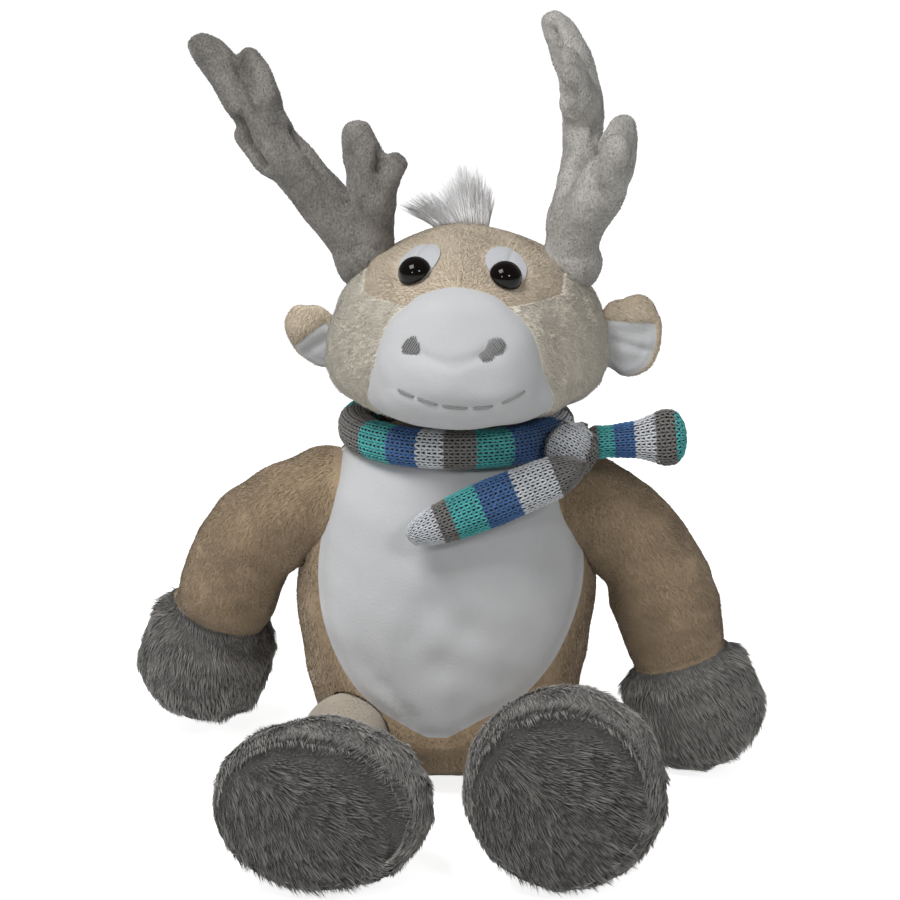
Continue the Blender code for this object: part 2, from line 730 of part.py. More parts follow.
def build_head(head):
    """Six sewn panels round the head's stuffing."""
    outer = helper("head_form", skin(head_rings(0)), parent=head)
    inner = helper("head_inside", skin(head_rings(CLOTH)), parent=head)
    inset = CLOTH + FILL_GAP
    reach = HEAD_LENGTH
    seam = MUZZLE_SEAM_SHARE * HEAD_LENGTH
    back_seam = BACK_SEAM_SHARE * HEAD_LENGTH
    crown = CROWN_SHARE * HEAD_HEIGHT - HEAD_DROP
    mouth_half = MOUTH_WIDTH / 2
    mouth_at = HEAD_LEAN + MOUTH_SHIFT
    mouth = [(mouth_at + s * mouth_half, 0, z * HEAD_HEIGHT - HEAD_DROP) for s, z in MOUTH_SHARES]
    mouth = [(HEAD_LEAN - reach, 0, mouth[0][2]), *mouth, (HEAD_LEAN + reach, 0, mouth[-1][2])]

    def lip(end, gap):
        """A zone from the mouth line, moved up by the gap, to an end height."""
        far = [(HEAD_LEAN + reach, 0, end), (HEAD_LEAN - reach, 0, end)]
        return prism([(x, y, z + gap) for x, y, z in mouth] + far, (0, -reach, 0), (0, seam, 0))

    def crown_zone(gap):
        nose = CROWN_NOSE_HALF_WIDTH + gap
        wide = CROWN_HALF_WIDTH + gap
        outline = (
            (HEAD_LEAN - nose, seam - OVERRUN, 0),
            (HEAD_LEAN + nose, seam - OVERRUN, 0),
            (HEAD_LEAN + wide, seam + OVERRUN, 0),
            (HEAD_LEAN + wide, back_seam + OVERRUN, 0),
            (HEAD_LEAN - wide, back_seam + OVERRUN, 0),
            (HEAD_LEAN - wide, seam + OVERRUN, 0),
        )
        return prism(outline, (0, 0, crown - gap), (0, 0, reach))

    neck_space = helper("neck_space", clear_ball(NECK_RADIUS, NECK_SIDES, NECK_RINGS), parent=head)
    low = (-reach, -reach, -reach)
    high = (reach, reach, reach)
    front_space = helper("front_space", box(low, (reach, seam + SEAM_GAP, reach)), parent=head)
    rear_space = helper("rear_space", box((-reach, back_seam - SEAM_GAP, -reach), high), parent=head)
    crown_space = helper("crown_space", crown_zone(SEAM_GAP), parent=head)
    half_gap = SEAM_GAP / 2
    left_space = helper("left_space", box(low, (HEAD_LEAN + half_gap, reach, reach)), parent=head)
    right_space = helper("right_space", box((HEAD_LEAN - half_gap, -reach, -reach), high), parent=head)

    roots = {}
    ears = {}
    for side, word in ((-1, "left"), (1, "right")):
        socket = clear_ball(ANTLER_ROOT_RADIUS, ANTLER_SOCKET_SIDES, ANTLER_SOCKET_RINGS)
        roots[side] = helper(f"antler_{word}_space", socket, antler_frame(side), head)
        wide = (EAR_ROOT_RADIUS + SEAM_GAP) / math.cos(math.pi / EAR_SIDES)
        slot = turned(((wide, -EAR_HEIGHT / 2 - SEAM_GAP), (wide, EAR_HEIGHT / 2 + SEAM_GAP)), EAR_SIDES)
        ears[side] = helper(f"ear_{word}_space", slot, ear_frame(side), head)

    for name, end, gap in (("muzzle_panel", reach, SEAM_GAP), ("chin_panel", -reach, 0)):
        panel = piece(name, lip(end, gap), "white", parent=head)
        keep(panel, outer)
        cut(panel, inner)
    crown_panel = piece("crown_panel", crown_zone(0), "beige", parent=head)
    keep(crown_panel, outer)
    cut(crown_panel, front_space, rear_space, roots[-1], roots[1], inner)
    for side, word in ((-1, "left"), (1, "right")):
        cheek = piece(f"cheek_{word}", skin(head_rings(0)), "cream", parent=head)
        other = right_space if side < 0 else left_space
        cut(cheek, front_space, rear_space, crown_space, other, roots[side], ears[side], neck_space, inner)
    rear = piece("head_back", box((-reach, back_seam, -reach), high), "beige", parent=head)
    keep(rear, outer)
    cut(rear, neck_space, inner)
    stuffing = piece("head_stuffing", skin(head_rings(inset)), "fill", parent=head)
    cut(stuffing, neck_space, roots[-1], roots[1], ears[-1], ears[1])
    return crown_panel, stuffing


def build_eyes(head, crown_panel, stuffing):
    """Each eye on its shank, the washer that locks it and the satin oval behind it."""
    patch_low = helper("patch_low", skin(head_rings(-SEAM_GAP)), parent=head)
    patch_high = helper("patch_high", skin(head_rings(-SEAM_GAP - PATCH_THICKNESS)), parent=head)
    base = 2 * SEAM_GAP + PATCH_THICKNESS
    for side, word in ((-1, "left"), (1, "right")):
        frame = eye_frame(side)
        dome = []
        for i in range(EYE_RINGS):
            angle = math.pi / 2 * i / EYE_RINGS
            dome.append((EYE_RADIUS * math.cos(angle), base + EYE_RADIUS * math.sin(angle)))
        dome.append((0, base + EYE_RADIUS))
        end = base - EYE_SHANK_LENGTH
        profile = [(0, end), (EYE_SHANK_RADIUS, end), (EYE_SHANK_RADIUS, base)]
        piece(f"eye_{word}", turned([*profile, *dome], EYE_SIDES), "eye", frame, head)
        bore = EYE_SHANK_RADIUS + SEAM_GAP
        hole = helper(f"eye_{word}_hole", turned(((bore, -OVERRUN), (bore, OVERRUN)), EYE_SIDES), frame, head)
        sag = CLOTH + SEAM_GAP + WASHER_RADIUS**2 / EYE_CURVE
        washer = piece(
            f"eye_washer_{word}",
            turned(((WASHER_RADIUS, -sag - WASHER_THICKNESS), (WASHER_RADIUS, -sag)), EYE_SIDES),
            "washer",
            frame,
            head,
        )
        cut(washer, hole)
        room = WASHER_RADIUS + SEAM_GAP
        hollow = turned(((room, end - SEAM_GAP), (room, OVERRUN)), EYE_SIDES)
        space = helper(f"washer_{word}_space", hollow, frame, head)
        cut(crown_panel, hole)
        cut(stuffing, space)
        oval = ellipse((0, PATCH_RISE, 0), (PATCH_HALF_WIDTH, 0, 0), (0, PATCH_HALF_HEIGHT, 0), EYE_SIDES)
        patch = piece(f"eye_patch_{word}", prism(oval, (0, 0, -OVERRUN), (0, 0, OVERRUN)), "satin", frame, head)
        keep(patch, patch_high)
        cut(patch, patch_low, hole)


def build_embroidery(head):
    """Nostrils and the stitched mouth, raised from the muzzle's skin by the thread."""
    low = helper("thread_low", skin(head_rings(-SEAM_GAP)), parent=head)
    high = helper("thread_high", skin(head_rings(-SEAM_GAP - THREAD)), parent=head)
    z = NOSTRIL_SHARE * HEAD_HEIGHT - HEAD_DROP
    for side, word in ((-1, "left"), (1, "right")):
        x = HEAD_LEAN + NOSTRIL_SHIFT + side * NOSTRIL_SPACING / 2
        tilt = math.radians(NOSTRIL_TILT_DEG * side)
        across = Vector((math.cos(tilt), 0, math.sin(tilt))) * NOSTRIL_HALF_WIDTH
        up = Vector((-math.sin(tilt), 0, math.cos(tilt))) * NOSTRIL_HALF_HEIGHT
        oval = ellipse((x, 0, z), across, up, NOSTRIL_SIDES)
        made = piece(f"nostril_{word}", prism(oval, (0, -HEAD_LENGTH, 0), (0, 0, 0)), "thread", parent=head)
        keep(made, high)
        cut(made, low)
    top = []
    bottom = []
    count = MOUTH_STITCHES * 4
    for i in range(count + 1):
        s = -1 + 2 * i / count
        middle = between(MOUTH_SHARES, s, 1) * HEAD_HEIGHT - HEAD_DROP
        thick = MOUTH_LINK_HEIGHT if i % 4 == 0 else MOUTH_STITCH_HEIGHT
        x = HEAD_LEAN + MOUTH_SHIFT + s * MOUTH_WIDTH / 2
        top.append((x, 0, middle + thick / 2))
        bottom.append((x, 0, middle - thick / 2))
    band = top + bottom[::-1]
    mouth = piece("mouth_stitching", prism(band, (0, -HEAD_LENGTH, 0), (0, 0, 0)), "thread", parent=head)
    keep(mouth, high)
    cut(mouth, low)


def build_ears(head):
    """Each ear: a beige outer with a white lining set in its front."""
    for side, word in ((-1, "left"), (1, "right")):
        fold = axis(f"ear_{word}_axis", ear_frame(side), head)
        rings = [[Vector((-side * EAR_ROOT_RADIUS, 0, 0))]]
        for along, tall, thick in EAR_SHARES:
            centre = (side * (along * (EAR_LENGTH + EAR_ROOT_RADIUS) - EAR_ROOT_RADIUS), 0, 0)
            deep = EAR_ROOT_RADIUS + (EAR_THICKNESS / 2 - EAR_ROOT_RADIUS) * thick
            rings.append(ellipse(centre, (0, deep * tall, 0), (0, 0, EAR_HEIGHT / 2 * tall), EAR_SIDES))
        rings.append([Vector((side * EAR_LENGTH, 0, 0))])
        ear_mesh = skin(rings)
        middle = side * EAR_LENGTH * EAR_LINING_SHARE

        def lining_zone(gap):
            half = EAR_LENGTH / 2 - EAR_RIM + gap
            oval = ellipse((middle, 0, 0), (half, 0, 0), (0, 0, EAR_HEIGHT / 2 - EAR_RIM + gap), EAR_SIDES)
            return prism(oval, (0, -EAR_THICKNESS, 0), (0, gap, 0))

        space = helper(f"ear_{word}_lining_space", lining_zone(SEAM_GAP), parent=fold)
        form = helper(f"ear_{word}_form", ear_mesh, parent=fold)
        outer = piece(f"ear_{word}_outer", ear_mesh.copy(), "beige", parent=fold)
        cut(outer, space)
        lining = piece(f"ear_{word}_lining", lining_zone(0), "white", parent=fold)
        keep(lining, form)


def build_antlers(head):
    """Each antler: a stuffed main beam joined by its points, on a round root."""
    designs = (
        (-1, "left", ANTLER_LEFT_SHARES, ANTLER_LEFT_DEPTH_SHARE),
        (1, "right", ANTLER_RIGHT_SHARES, ANTLER_RIGHT_DEPTH_SHARE),
    )
    for side, word, stems, depth_share in designs:
        root = axis(f"antler_{word}_axis", antler_frame(side), head)
        made = None
        for number, rows in enumerate(stems):
            points = [Vector((side * row[0], row[1], row[2])) * ANTLER_HEIGHT for row in rows]
            radii = [row[3] * ANTLER_HEIGHT for row in rows]
            if number == 0:
                radii[0] = ANTLER_ROOT_RADIUS
            mesh = stem(points, radii, ANTLER_SIDES, 1 if number == 0 else depth_share, number == 0)
            if number == 0:
                made = piece(f"antler_{word}", mesh, "antler", parent=root)
            else:
                combine(made, "UNION", helper(f"antler_{word}_point_{number}", mesh, parent=root))


def build_tuft(head):
    """The strip of long pile that stands up from the seam at the top of the head."""
    skin_form = helper("tuft_seat", skin(head_rings(-SEAM_GAP)), parent=head)
    seat = head_surface(HEAD_LEAN, TUFT_BACK_SHARE) + Vector((TUFT_SHIFT, 0, 0))
    rows = []
    for height, wide, thick, lean in TUFT_SHARES:
        centre = seat + Vector((-lean * TUFT_WIDTH / 2, 0, height * TUFT_HEIGHT))
        rows.append(
            ellipse(centre, (wide * TUFT_WIDTH / 2, 0, 0), (0, thick * TUFT_THICKNESS / 2, 0), TUFT_SIDES)
        )
    tip = TUFT_SHARES[-1]
    rows.append([seat + Vector((-tip[3] * TUFT_WIDTH / 2, 0, TUFT_HEIGHT))])
    tuft = piece("hair_tuft", skin(rows), "white", parent=head)
    cut(tuft, skin_form)


def collar_height():
    """The height of the middle of the scarf's collar."""
    return TORSO_HEIGHT + NECK_RISE - HEAD_DROP - SCARF_CLEARANCE - COLLAR_HEIGHT / 2


def collar_rings(grow):
    """Rings round the collar's section, all the way round the neck."""
    rings = []
    thick = COLLAR_THICKNESS / 2 + grow
    high = COLLAR_HEIGHT / 2 + grow
    for i in range(COLLAR_STEPS):
        turn = math.tau * i / COLLAR_STEPS
        way = Vector((math.cos(turn), math.sin(turn), 0))
        middle = Vector(
            (
                NECK_SHIFT + (COLLAR_WIDTH - COLLAR_THICKNESS) / 2 * way.x,
                (COLLAR_DEPTH - COLLAR_THICKNESS) / 2 * way.y,
                collar_height(),
            )
        )
        rings.append(ellipse(middle, way * thick, (0, 0, high), COLLAR_SIDES, COLLAR_POWER))
    return rings


def build_scarf():
    """A padded knitted collar, its knot and its two ends."""
    body = helper("scarf_body", skin(torso_rings(-SEAM_GAP)))
    collar = piece("scarf_collar", skin(collar_rings(0), closed=True), "knit")
    cut(collar, body)
    grown = helper("collar_space", skin(collar_rings(SEAM_GAP), closed=True))
    turn = math.radians(KNOT_ANGLE_DEG)
    knot_at = Vector(
        (
            NECK_SHIFT + COLLAR_WIDTH / 2 * math.cos(turn),
            COLLAR_DEPTH / 2 * math.sin(turn),
            collar_height() - KNOT_DROP,
        )
    )
    way = Vector((math.cos(turn), math.sin(turn), 0))
    knot_at += way * KNOT_DEPTH * KNOT_OUT_SHARE
    frame = Matrix.Translation(knot_at) @ Matrix.Rotation(turn + math.pi / 2, 4, "Z")
    stretch = Matrix.Diagonal((KNOT_WIDTH / 2, KNOT_DEPTH / 2, KNOT_HEIGHT / 2, 1))
    knot_mesh = ball(1, KNOT_SIDES, KNOT_RINGS)
    knot_mesh.transform(stretch)
    knot = piece("scarf_knot", knot_mesh, "knit", frame)
    cut(knot, grown, body)
    return frame


def build_tails(knot_frame):
    """The two padded ends of the scarf, each on a round root beside the knot."""
    left_turn = (TAIL_LEFT_DROP_DEG, TAIL_LEFT_FORWARD_DEG)
    right_turn = (TAIL_RIGHT_DROP_DEG, TAIL_RIGHT_FORWARD_DEG)
    designs = (
        ("left", -1, TAIL_LEFT_SHARES, TAIL_LEFT_LENGTH, TAIL_LEFT_START_SHARES, left_turn),
        ("right", 1, TAIL_RIGHT_SHARES, TAIL_RIGHT_LENGTH, TAIL_RIGHT_START_SHARES, right_turn),
    )
    for word, side, rows, length, share, (drop, forward) in designs:
        way = Vector(share).normalized()
        reach = 1 / math.sqrt(
            (way.x / KNOT_WIDTH * 2) ** 2 + (way.y / KNOT_DEPTH * 2) ** 2 + (way.z / KNOT_HEIGHT * 2) ** 2
        )
        start = knot_frame @ (way * (reach + TAIL_ROOT_RADIUS + TAIL_CLEARANCE))
        turn = Matrix.Rotation(math.radians(side * drop), 4, "Y")
        lead = Matrix.Rotation(math.radians(-side * forward), 4, "Z")
        hinge = axis(f"scarf_tail_{word}_axis", Matrix.Translation(start) @ lead @ turn)
        rings = [[Vector((-side * TAIL_ROOT_RADIUS, 0, 0))]]
        for degrees in TAIL_ROOT_RING_DEG:
            bend = math.radians(degrees)
            half = TAIL_ROOT_RADIUS * math.cos(bend)
            along = side * TAIL_ROOT_RADIUS * math.sin(bend)
            rings.append(ellipse((along, 0, 0), (0, 0, half), (0, half, 0), TAIL_SIDES))
        for along, wide, thick in rows:
            half = wide * TAIL_WIDTH / 2
            deep = thick * TAIL_THICKNESS / 2
            rings.append(ellipse((side * along * length, 0, 0), (0, 0, half), (0, deep, 0), TAIL_SIDES))
        rings.append([Vector((side * length, 0, 0))])
        piece(f"scarf_tail_{word}", skin(rings), "knit", parent=hinge)


def shoulder(side):
    """The middle of the arm's root, on its axis at the torso's side."""
    z = SHOULDER_SHARE * TORSO_HEIGHT
    return Vector((side * torso_half(z, 1), 0, z))


def arm_root(grow):
    """The root dome of an arm about its axis: (radius, place outwards from the torso's side)."""
    radius = ARM_RADIUS * ARM_SHARES[0][2]
    return [
        (radius * wide + grow if wide else 0, -SHOULDER_DEPTH * deep - grow)
        for wide, deep in ARM_ROOT_SHARES
    ]


def arm_sections(side):
    """Centre, half-width and way of each section of the sleeve after its root, from the shoulder."""
    root = shoulder(side)
    out = TORSO_WIDTH / 2 + ARM_GAP - abs(root.x)
    drop = root.z - FLOOR_GAP - HOOF_LENGTH
    reach = ARM_LEFT_REACH if side < 0 else ARM_RIGHT_REACH
    sections = []
    for outward, down, half, slope in ARM_SHARES[1:]:
        x = out * min(outward / ARM_SHARES[2][0], 1) + outward * reach
        angle = math.radians(slope)
        way = Vector((side * math.cos(angle), 0, -math.sin(angle)))
        sections.append((Vector((side * x, 0, -down * drop)), half * ARM_RADIUS, way))
    return sections


def across_ring(centre, half, way):
    """A ring square to the way, which lies in the XZ plane."""
    across = Vector((0, 1, 0)).cross(way).normalized()
    return ellipse(centre, across * -half, (0, half, 0), LIMB_SIDES)


def sleeve_rings(side, inset):
    """Rings of the sleeve from its root dome to its cuff."""
    rings = []
    for radius, along in arm_root(-inset):
        centre = Vector((side * along, 0, 0))
        if radius == 0:
            rings.append([centre])
        else:
            rings.append(ellipse(centre, (0, 0, radius * side), (0, radius, 0), LIMB_SIDES))
    for centre, half, way in arm_sections(side):
        rings.append(across_ring(centre, half - inset, way))
    return rings


def hoof_rings(side, inset, start):
    """Rings of the hoof mitt from its opening, which starts past the cuff, to its tip."""
    cuff, _, way = arm_sections(side)[-1]
    rings = []
    down = Vector((side * HOOF_LEAN_SHARE, 0, -1)).normalized()
    length = HOOF_LENGTH - inset
    for along, wide in HOOF_SHARES:
        spin = min(along / HOOF_TURN_SHARE, 1)
        heading = (way * (1 - spin) + down * spin).normalized()
        centre = cuff + heading * (start + along * (length - start))
        rings.append(across_ring(centre, wide * HOOF_RADIUS - inset, heading))
    rings.append([cuff + down * length])
    return rings


def build_arms():
    """Each arm: a beige sleeve, a hoof mitt sewn to its cuff, and the stuffing through both."""
    sockets = []
    fill = CLOTH + FILL_GAP
    for side, word, swing in ((-1, "left", ARM_LEFT_SWING_DEG), (1, "right", ARM_RIGHT_SWING_DEG)):
        root = shoulder(side)
        frame = Matrix.Translation(root) @ Matrix.Rotation(math.radians(swing), 4, "X")
        hinge = axis(f"shoulder_{word}_axis", frame)
        sleeve = sleeve_rings(side, 0) + sleeve_rings(side, CLOTH)[::-1]
        piece(f"arm_{word}", skin(sleeve), "beige", parent=hinge)
        hoof = hoof_rings(side, CLOTH, SEAM_GAP)[::-1] + hoof_rings(side, 0, SEAM_GAP)
        piece(f"hoof_{word}", skin(hoof), "grey", parent=hinge)
        stuffing = sleeve_rings(side, fill) + hoof_rings(side, fill, SEAM_GAP)[1:]
        piece(f"arm_stuffing_{word}", skin(stuffing), "fill", parent=hinge)

        profile = [(radius, side * along) for radius, along in arm_root(SHOULDER_CLEARANCE)]
        # the sleeve's lower edge at its first two sections: place outwards, and depth below the axis
        near, far = [(abs(c.x) - h * abs(w.z), abs(c.z) + h * abs(w.x)) for c, h, w in arm_sections(side)[:2]]
        part = (TORSO_WIDTH / 2 + ARM_GAP - abs(root.x) - near[0]) / (far[0] - near[0])
        inner = near[1] + (far[1] - near[1]) * min(max(part, 0), 1) + SHOULDER_CLEARANCE
        start = near[0] - SHOULDER_CLEARANCE
        profile.append((inner, side * start))
        profile.append((inner, side * (start + ARM_RADIUS)))
        sockets.append(helper(f"shoulder_{word}_space", turned(profile, TORSO_SIDES, "X"), parent=hinge))
    return sockets


def hip(side):
    """The middle of a leg's round root, on its axis."""
    return Vector((side * HIP_SPACING / 2, HIP_INSET - TORSO_DEPTH / 2, HIP_HEIGHT))


def foot_oval(side, wide, inset):
    """Half-width and half-height of a foot's ring."""
    across, up = FOOT_LEFT_OVAL_SHARES if side < 0 else FOOT_RIGHT_OVAL_SHARES
    return wide * FOOT_RADIUS * across - inset, wide * FOOT_RADIUS * up - inset


def foot_ring(frame, along, halves):
    """A ring of the foot, from its lowest point, at a place back from the sole."""
    return [frame @ p for p in ellipse((0, along, 0), (0, 0, -halves[1]), (-halves[0], 0, 0), LIMB_SIDES)]


def foot_frame(side):
    """The frame of a foot from its hip: the sole's middle, with Y towards the heel."""
    turn = FOOT_LEFT_TURN_DEG if side < 0 else FOOT_RIGHT_TURN_DEG
    out = FOOT_LEFT_OUT if side < 0 else FOOT_RIGHT_OUT
    pitch = math.radians(FOOT_PITCH_DEG)
    low = max(
        foot_oval(side, wide, 0)[1] * math.cos(pitch) + along * FOOT_LENGTH * math.sin(pitch)
        for along, wide in FOOT_SHARES
    )
    root = hip(side)
    sole = Vector((side * out - root.x, -LEG_LENGTH - FOOT_LENGTH, FLOOR_GAP + low - root.z))
    turned_out = Matrix.Rotation(math.radians(turn), 4, "Z") @ Matrix.Rotation(-pitch, 4, "X")
    return Matrix.Translation(sole) @ turned_out


def foot_rings(side, frame, inset):
    """Rings of the foot upper from the sole to the ankle."""
    return [foot_ring(frame, along * FOOT_LENGTH, foot_oval(side, wide, inset)) for along, wide in FOOT_SHARES]


def leg_rings(side, frame, inset):
    """Rings of the leg from its round root at the hip to the ankle."""
    ankle = frame @ Vector((0, FOOT_LENGTH, 0))
    way = ankle.normalized()
    across = Vector((0, 0, 1)).cross(way).normalized()
    up = way.cross(across)
    radius = HIP_RADIUS - inset
    rings = [[way * -radius]]
    for degrees in HIP_RING_DEG:
        turn = math.radians(degrees)
        half = radius * math.cos(turn)
        rings.append(ellipse(way * radius * math.sin(turn), up * -half, across * -half, LIMB_SIDES))
    for along, wide in LEG_SHARES:
        half = wide * LEG_RADIUS - inset
        rings.append(ellipse(ankle * along, up * -half, across * -half, LIMB_SIDES))
    rings.append(foot_ring(frame, FOOT_LENGTH + SEAM_GAP, foot_oval(side, FOOT_SHARES[-1][1], inset)))
    return rings


def sole_rings(side, frame, front):
    """Rings of the domed sole from its crown to its rim."""
    rings = [[frame @ Vector((0, -front - SOLE_CROWN, 0))]]
    for share, crown in SOLE_SHARES:
        halves = foot_oval(side, FOOT_SHARES[0][1] * share, 0)
        rings.append(foot_ring(frame, -front - SOLE_CROWN * crown, halves))
    return rings


def build_legs():
    """Each leg: a short beige leg on a round root, a foot upper, a sole and the stuffing."""
    sockets = []
    fill = CLOTH + FILL_GAP
    for side, word in ((-1, "left"), (1, "right")):
        hinge = axis(f"hip_{word}_axis", Matrix.Translation(hip(side)))
        space = clear_ball(HIP_RADIUS, LIMB_SIDES, HIP_SOCKET_RINGS)
        sockets.append(helper(f"hip_{word}_space", space, parent=hinge))
        frame = foot_frame(side)
        leg = leg_rings(side, frame, 0) + leg_rings(side, frame, CLOTH)[::-1]
        piece(f"leg_{word}", skin(leg), "beige", parent=hinge)
        upper = foot_rings(side, frame, 0) + foot_rings(side, frame, CLOTH)[::-1]
        piece(f"foot_{word}_upper", skin(upper, closed=True), "grey", parent=hinge)
        sole = sole_rings(side, frame, SEAM_GAP) + sole_rings(side, frame, SEAM_GAP + CLOTH)[::-1]
        piece(f"foot_{word}_sole", skin(sole), "grey", parent=hinge)
        stuffing = leg_rings(side, frame, fill)[:-1] + foot_rings(side, frame, fill)[::-1]
        crown = frame @ Vector((0, -SOLE_CROWN * SOLE_FILL_SHARE, 0))
        piece(f"leg_stuffing_{word}", skin([*stuffing, [crown]]), "fill", parent=hinge)
    return sockets


for existing in list(bpy.data.objects):
    bpy.data.objects.remove(existing, do_unlink=True)
for existing in list(bpy.data.materials):
    bpy.data.materials.remove(existing)

arm_spaces = build_arms()
hip_spaces = build_legs()
build_torso(arm_spaces, hip_spaces)
head_joint = build_neck()
crown_cover, head_fill = build_head(head_joint)
build_eyes(head_joint, crown_cover, head_fill)
build_embroidery(head_joint)
build_ears(head_joint)
build_antlers(head_joint)
build_tuft(head_joint)
build_tails(build_scarf())
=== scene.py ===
"""Dresses the frame of a seated plush deer: pile covers, soft antlers, glossy eyes and a knitted scarf.

Metres, +Z up. The deer faces -Y. Left is the -X side, on the left of someone who looks at its face.
"""

import json
import logging
import math
from collections.abc import Callable, Sequence
from dataclasses import dataclass, field, replace
from enum import Enum
from typing import Any

import bmesh
import bpy
import numpy as np
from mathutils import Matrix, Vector
from mathutils.bvhtree import BVHTree

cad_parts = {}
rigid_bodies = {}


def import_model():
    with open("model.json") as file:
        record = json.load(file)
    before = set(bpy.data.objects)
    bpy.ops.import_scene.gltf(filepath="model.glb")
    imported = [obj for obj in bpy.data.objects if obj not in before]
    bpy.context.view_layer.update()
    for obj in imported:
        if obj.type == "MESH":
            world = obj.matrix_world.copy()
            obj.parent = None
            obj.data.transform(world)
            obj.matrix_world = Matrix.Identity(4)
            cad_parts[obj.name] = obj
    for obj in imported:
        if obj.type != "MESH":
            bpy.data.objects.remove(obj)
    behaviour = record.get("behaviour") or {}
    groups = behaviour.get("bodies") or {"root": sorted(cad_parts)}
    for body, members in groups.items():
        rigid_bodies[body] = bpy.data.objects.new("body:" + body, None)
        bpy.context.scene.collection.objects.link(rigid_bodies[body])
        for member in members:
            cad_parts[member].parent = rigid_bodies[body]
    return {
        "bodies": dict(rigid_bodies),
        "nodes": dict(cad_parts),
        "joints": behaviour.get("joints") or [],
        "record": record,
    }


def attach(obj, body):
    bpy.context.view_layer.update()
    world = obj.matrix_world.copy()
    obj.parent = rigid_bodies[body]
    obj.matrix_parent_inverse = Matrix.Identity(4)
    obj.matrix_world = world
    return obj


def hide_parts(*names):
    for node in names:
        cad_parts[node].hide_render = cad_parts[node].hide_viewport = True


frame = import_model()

LOG = logging.getLogger("deer")
Points = np.ndarray
Row = tuple[float, ...]
# The UV map that holds the tone and the length of each strand
PALETTE_MAP = "OFBake"
# How many tones the palette has
TONES = 32
# The thickness of a cover's cloth
CLOTH = 0.0012


class Side(Enum):
    """The two sides of the deer, by the sign of X."""

    LEFT = -1
    RIGHT = 1

    @property
    def word(self) -> str:
        """The side's name in piece names."""
        return self.name.lower()


class Slot(Enum):
    """Material slots of the record."""

    BEIGE = "beige"
    CREAM = "cream"
    WHITE = "white"
    GREY = "grey"
    ANTLER = "antler"
    THREAD = "thread"
    SATIN = "satin"
    EYE = "eye"
    WASHER = "washer"
    FILL = "fill"
    PELLETS = "pellets"
    KNIT = "knit"


class Yarn(Enum):
    """The scarf's yarns, in the order of the palette."""

    GREY = 0
    TEAL = 1
    BLUE = 2
    WHITE = 3


# Points, rings and surfaces


def turning(axis: str, degrees: float) -> Points:
    """A 4 by 4 turn about one axis.

    Args:
        axis: X, Y or Z.
        degrees: The angle.

    Returns:
        The matrix.
    """
    made = np.eye(4)
    c, s = math.cos(math.radians(degrees)), math.sin(math.radians(degrees))
    i, j = {"X": (1, 2), "Y": (2, 0), "Z": (0, 1)}[axis]
    made[i, i], made[i, j], made[j, i], made[j, j] = c, -s, s, c
    return made


def moving(x: float, y: float, z: float) -> Points:
    """A 4 by 4 shift.

    Args:
        x: Along X.
        y: Along Y.
        z: Along Z.

    Returns:
        The matrix.
    """
    made = np.eye(4)
    made[:3, 3] = x, y, z
    return made


def placed(points: Points, matrix: Points) -> Points:
    """The points in the space that the matrix leads to."""
    return points @ matrix[:3, :3].T + matrix[:3, 3]


def unit(vectors: Points) -> Points:
    """The vectors at length one."""
    return vectors / np.maximum(np.linalg.norm(vectors, axis=-1, keepdims=True), 1e-12)


def oval(
    centre: Sequence[float], across: Sequence[float], up: Sequence[float], sides: int, power: float = 2.0
) -> Points:
    """Points round an oval.

    Args:
        centre: The middle.
        across: The half-axis that the first point lies on.
        up: The half-axis a quarter turn on.
        sides: How many points.
        power: 2 for an ellipse, more for a squarer form.

    Returns:
        The points, one row each.
    """
    turn = np.arange(sides) * math.tau / sides
    c, s = np.cos(turn), np.sin(turn)
    wide = np.sign(c) * np.abs(c) ** (2 / power)
    high = np.sign(s) * np.abs(s) ** (2 / power)
    return np.asarray(centre, float) + wide[:, None] * np.asarray(across, float) + high[:, None] * np.asarray(up, float)


def pole(point: Sequence[float], sides: int) -> Points:
    """A ring whose points all lie at one place."""
    return np.tile(np.asarray(point, float), (sides, 1))


def smooth(rows: Sequence[Points], step: float, loop: bool = False) -> Points:
    """Evenly spaced rings on a smooth form through the given ones.

    Args:
        rows: Rings with the same number of points. A pole may stand at either end.
        step: The distance between the new rings.
        loop: True where the last ring leads back to the first.

    Returns:
        The rings as an array of ring, point and coordinate.
    """
    given = [np.asarray(row, float) for row in rows]

    def beyond(end: Points, inner: Points) -> Points:
        """The ring past an end: across a pole, or straight on."""
        if np.ptp(end, axis=0).max() < 1e-9:
            return np.roll(inner, len(inner) // 2, axis=0)
        return 2 * end - inner

    if loop:
        stack = np.stack([given[-1], *given, given[0], given[1]])
    else:
        stack = np.stack([beyond(given[0], given[1]), *given, beyond(given[-1], given[-2])])
    gaps = np.maximum(np.linalg.norm(np.diff(stack, axis=0), axis=2).mean(1), 1e-6)
    slopes = np.diff(stack, axis=0) / gaps[:, None, None]
    before, after = gaps[:-1, None, None], gaps[1:, None, None]
    tangents = (slopes[:-1] * after + slopes[1:] * before) / (before + after)
    inner, gaps = stack[1:-1], gaps[1:-1]
    ends = np.concatenate([[0], np.cumsum(gaps)])
    count = max(int(round(ends[-1] / step)), 2)
    places = np.linspace(0, ends[-1], count + 1)
    if loop:
        places = places[:-1]
    index = np.clip(np.searchsorted(ends, places, side="right") - 1, 0, len(gaps) - 1)
    t = ((places - ends[index]) / gaps[index])[:, None, None]
    gap = gaps[index][:, None, None]
    return (
        inner[index] * (2 * t**3 - 3 * t**2 + 1)
        + tangents[index] * gap * (t**3 - 2 * t**2 + t)
        + inner[index + 1] * (3 * t**2 - 2 * t**3)
        + tangents[index + 1] * gap * (t**3 - t**2)
    )


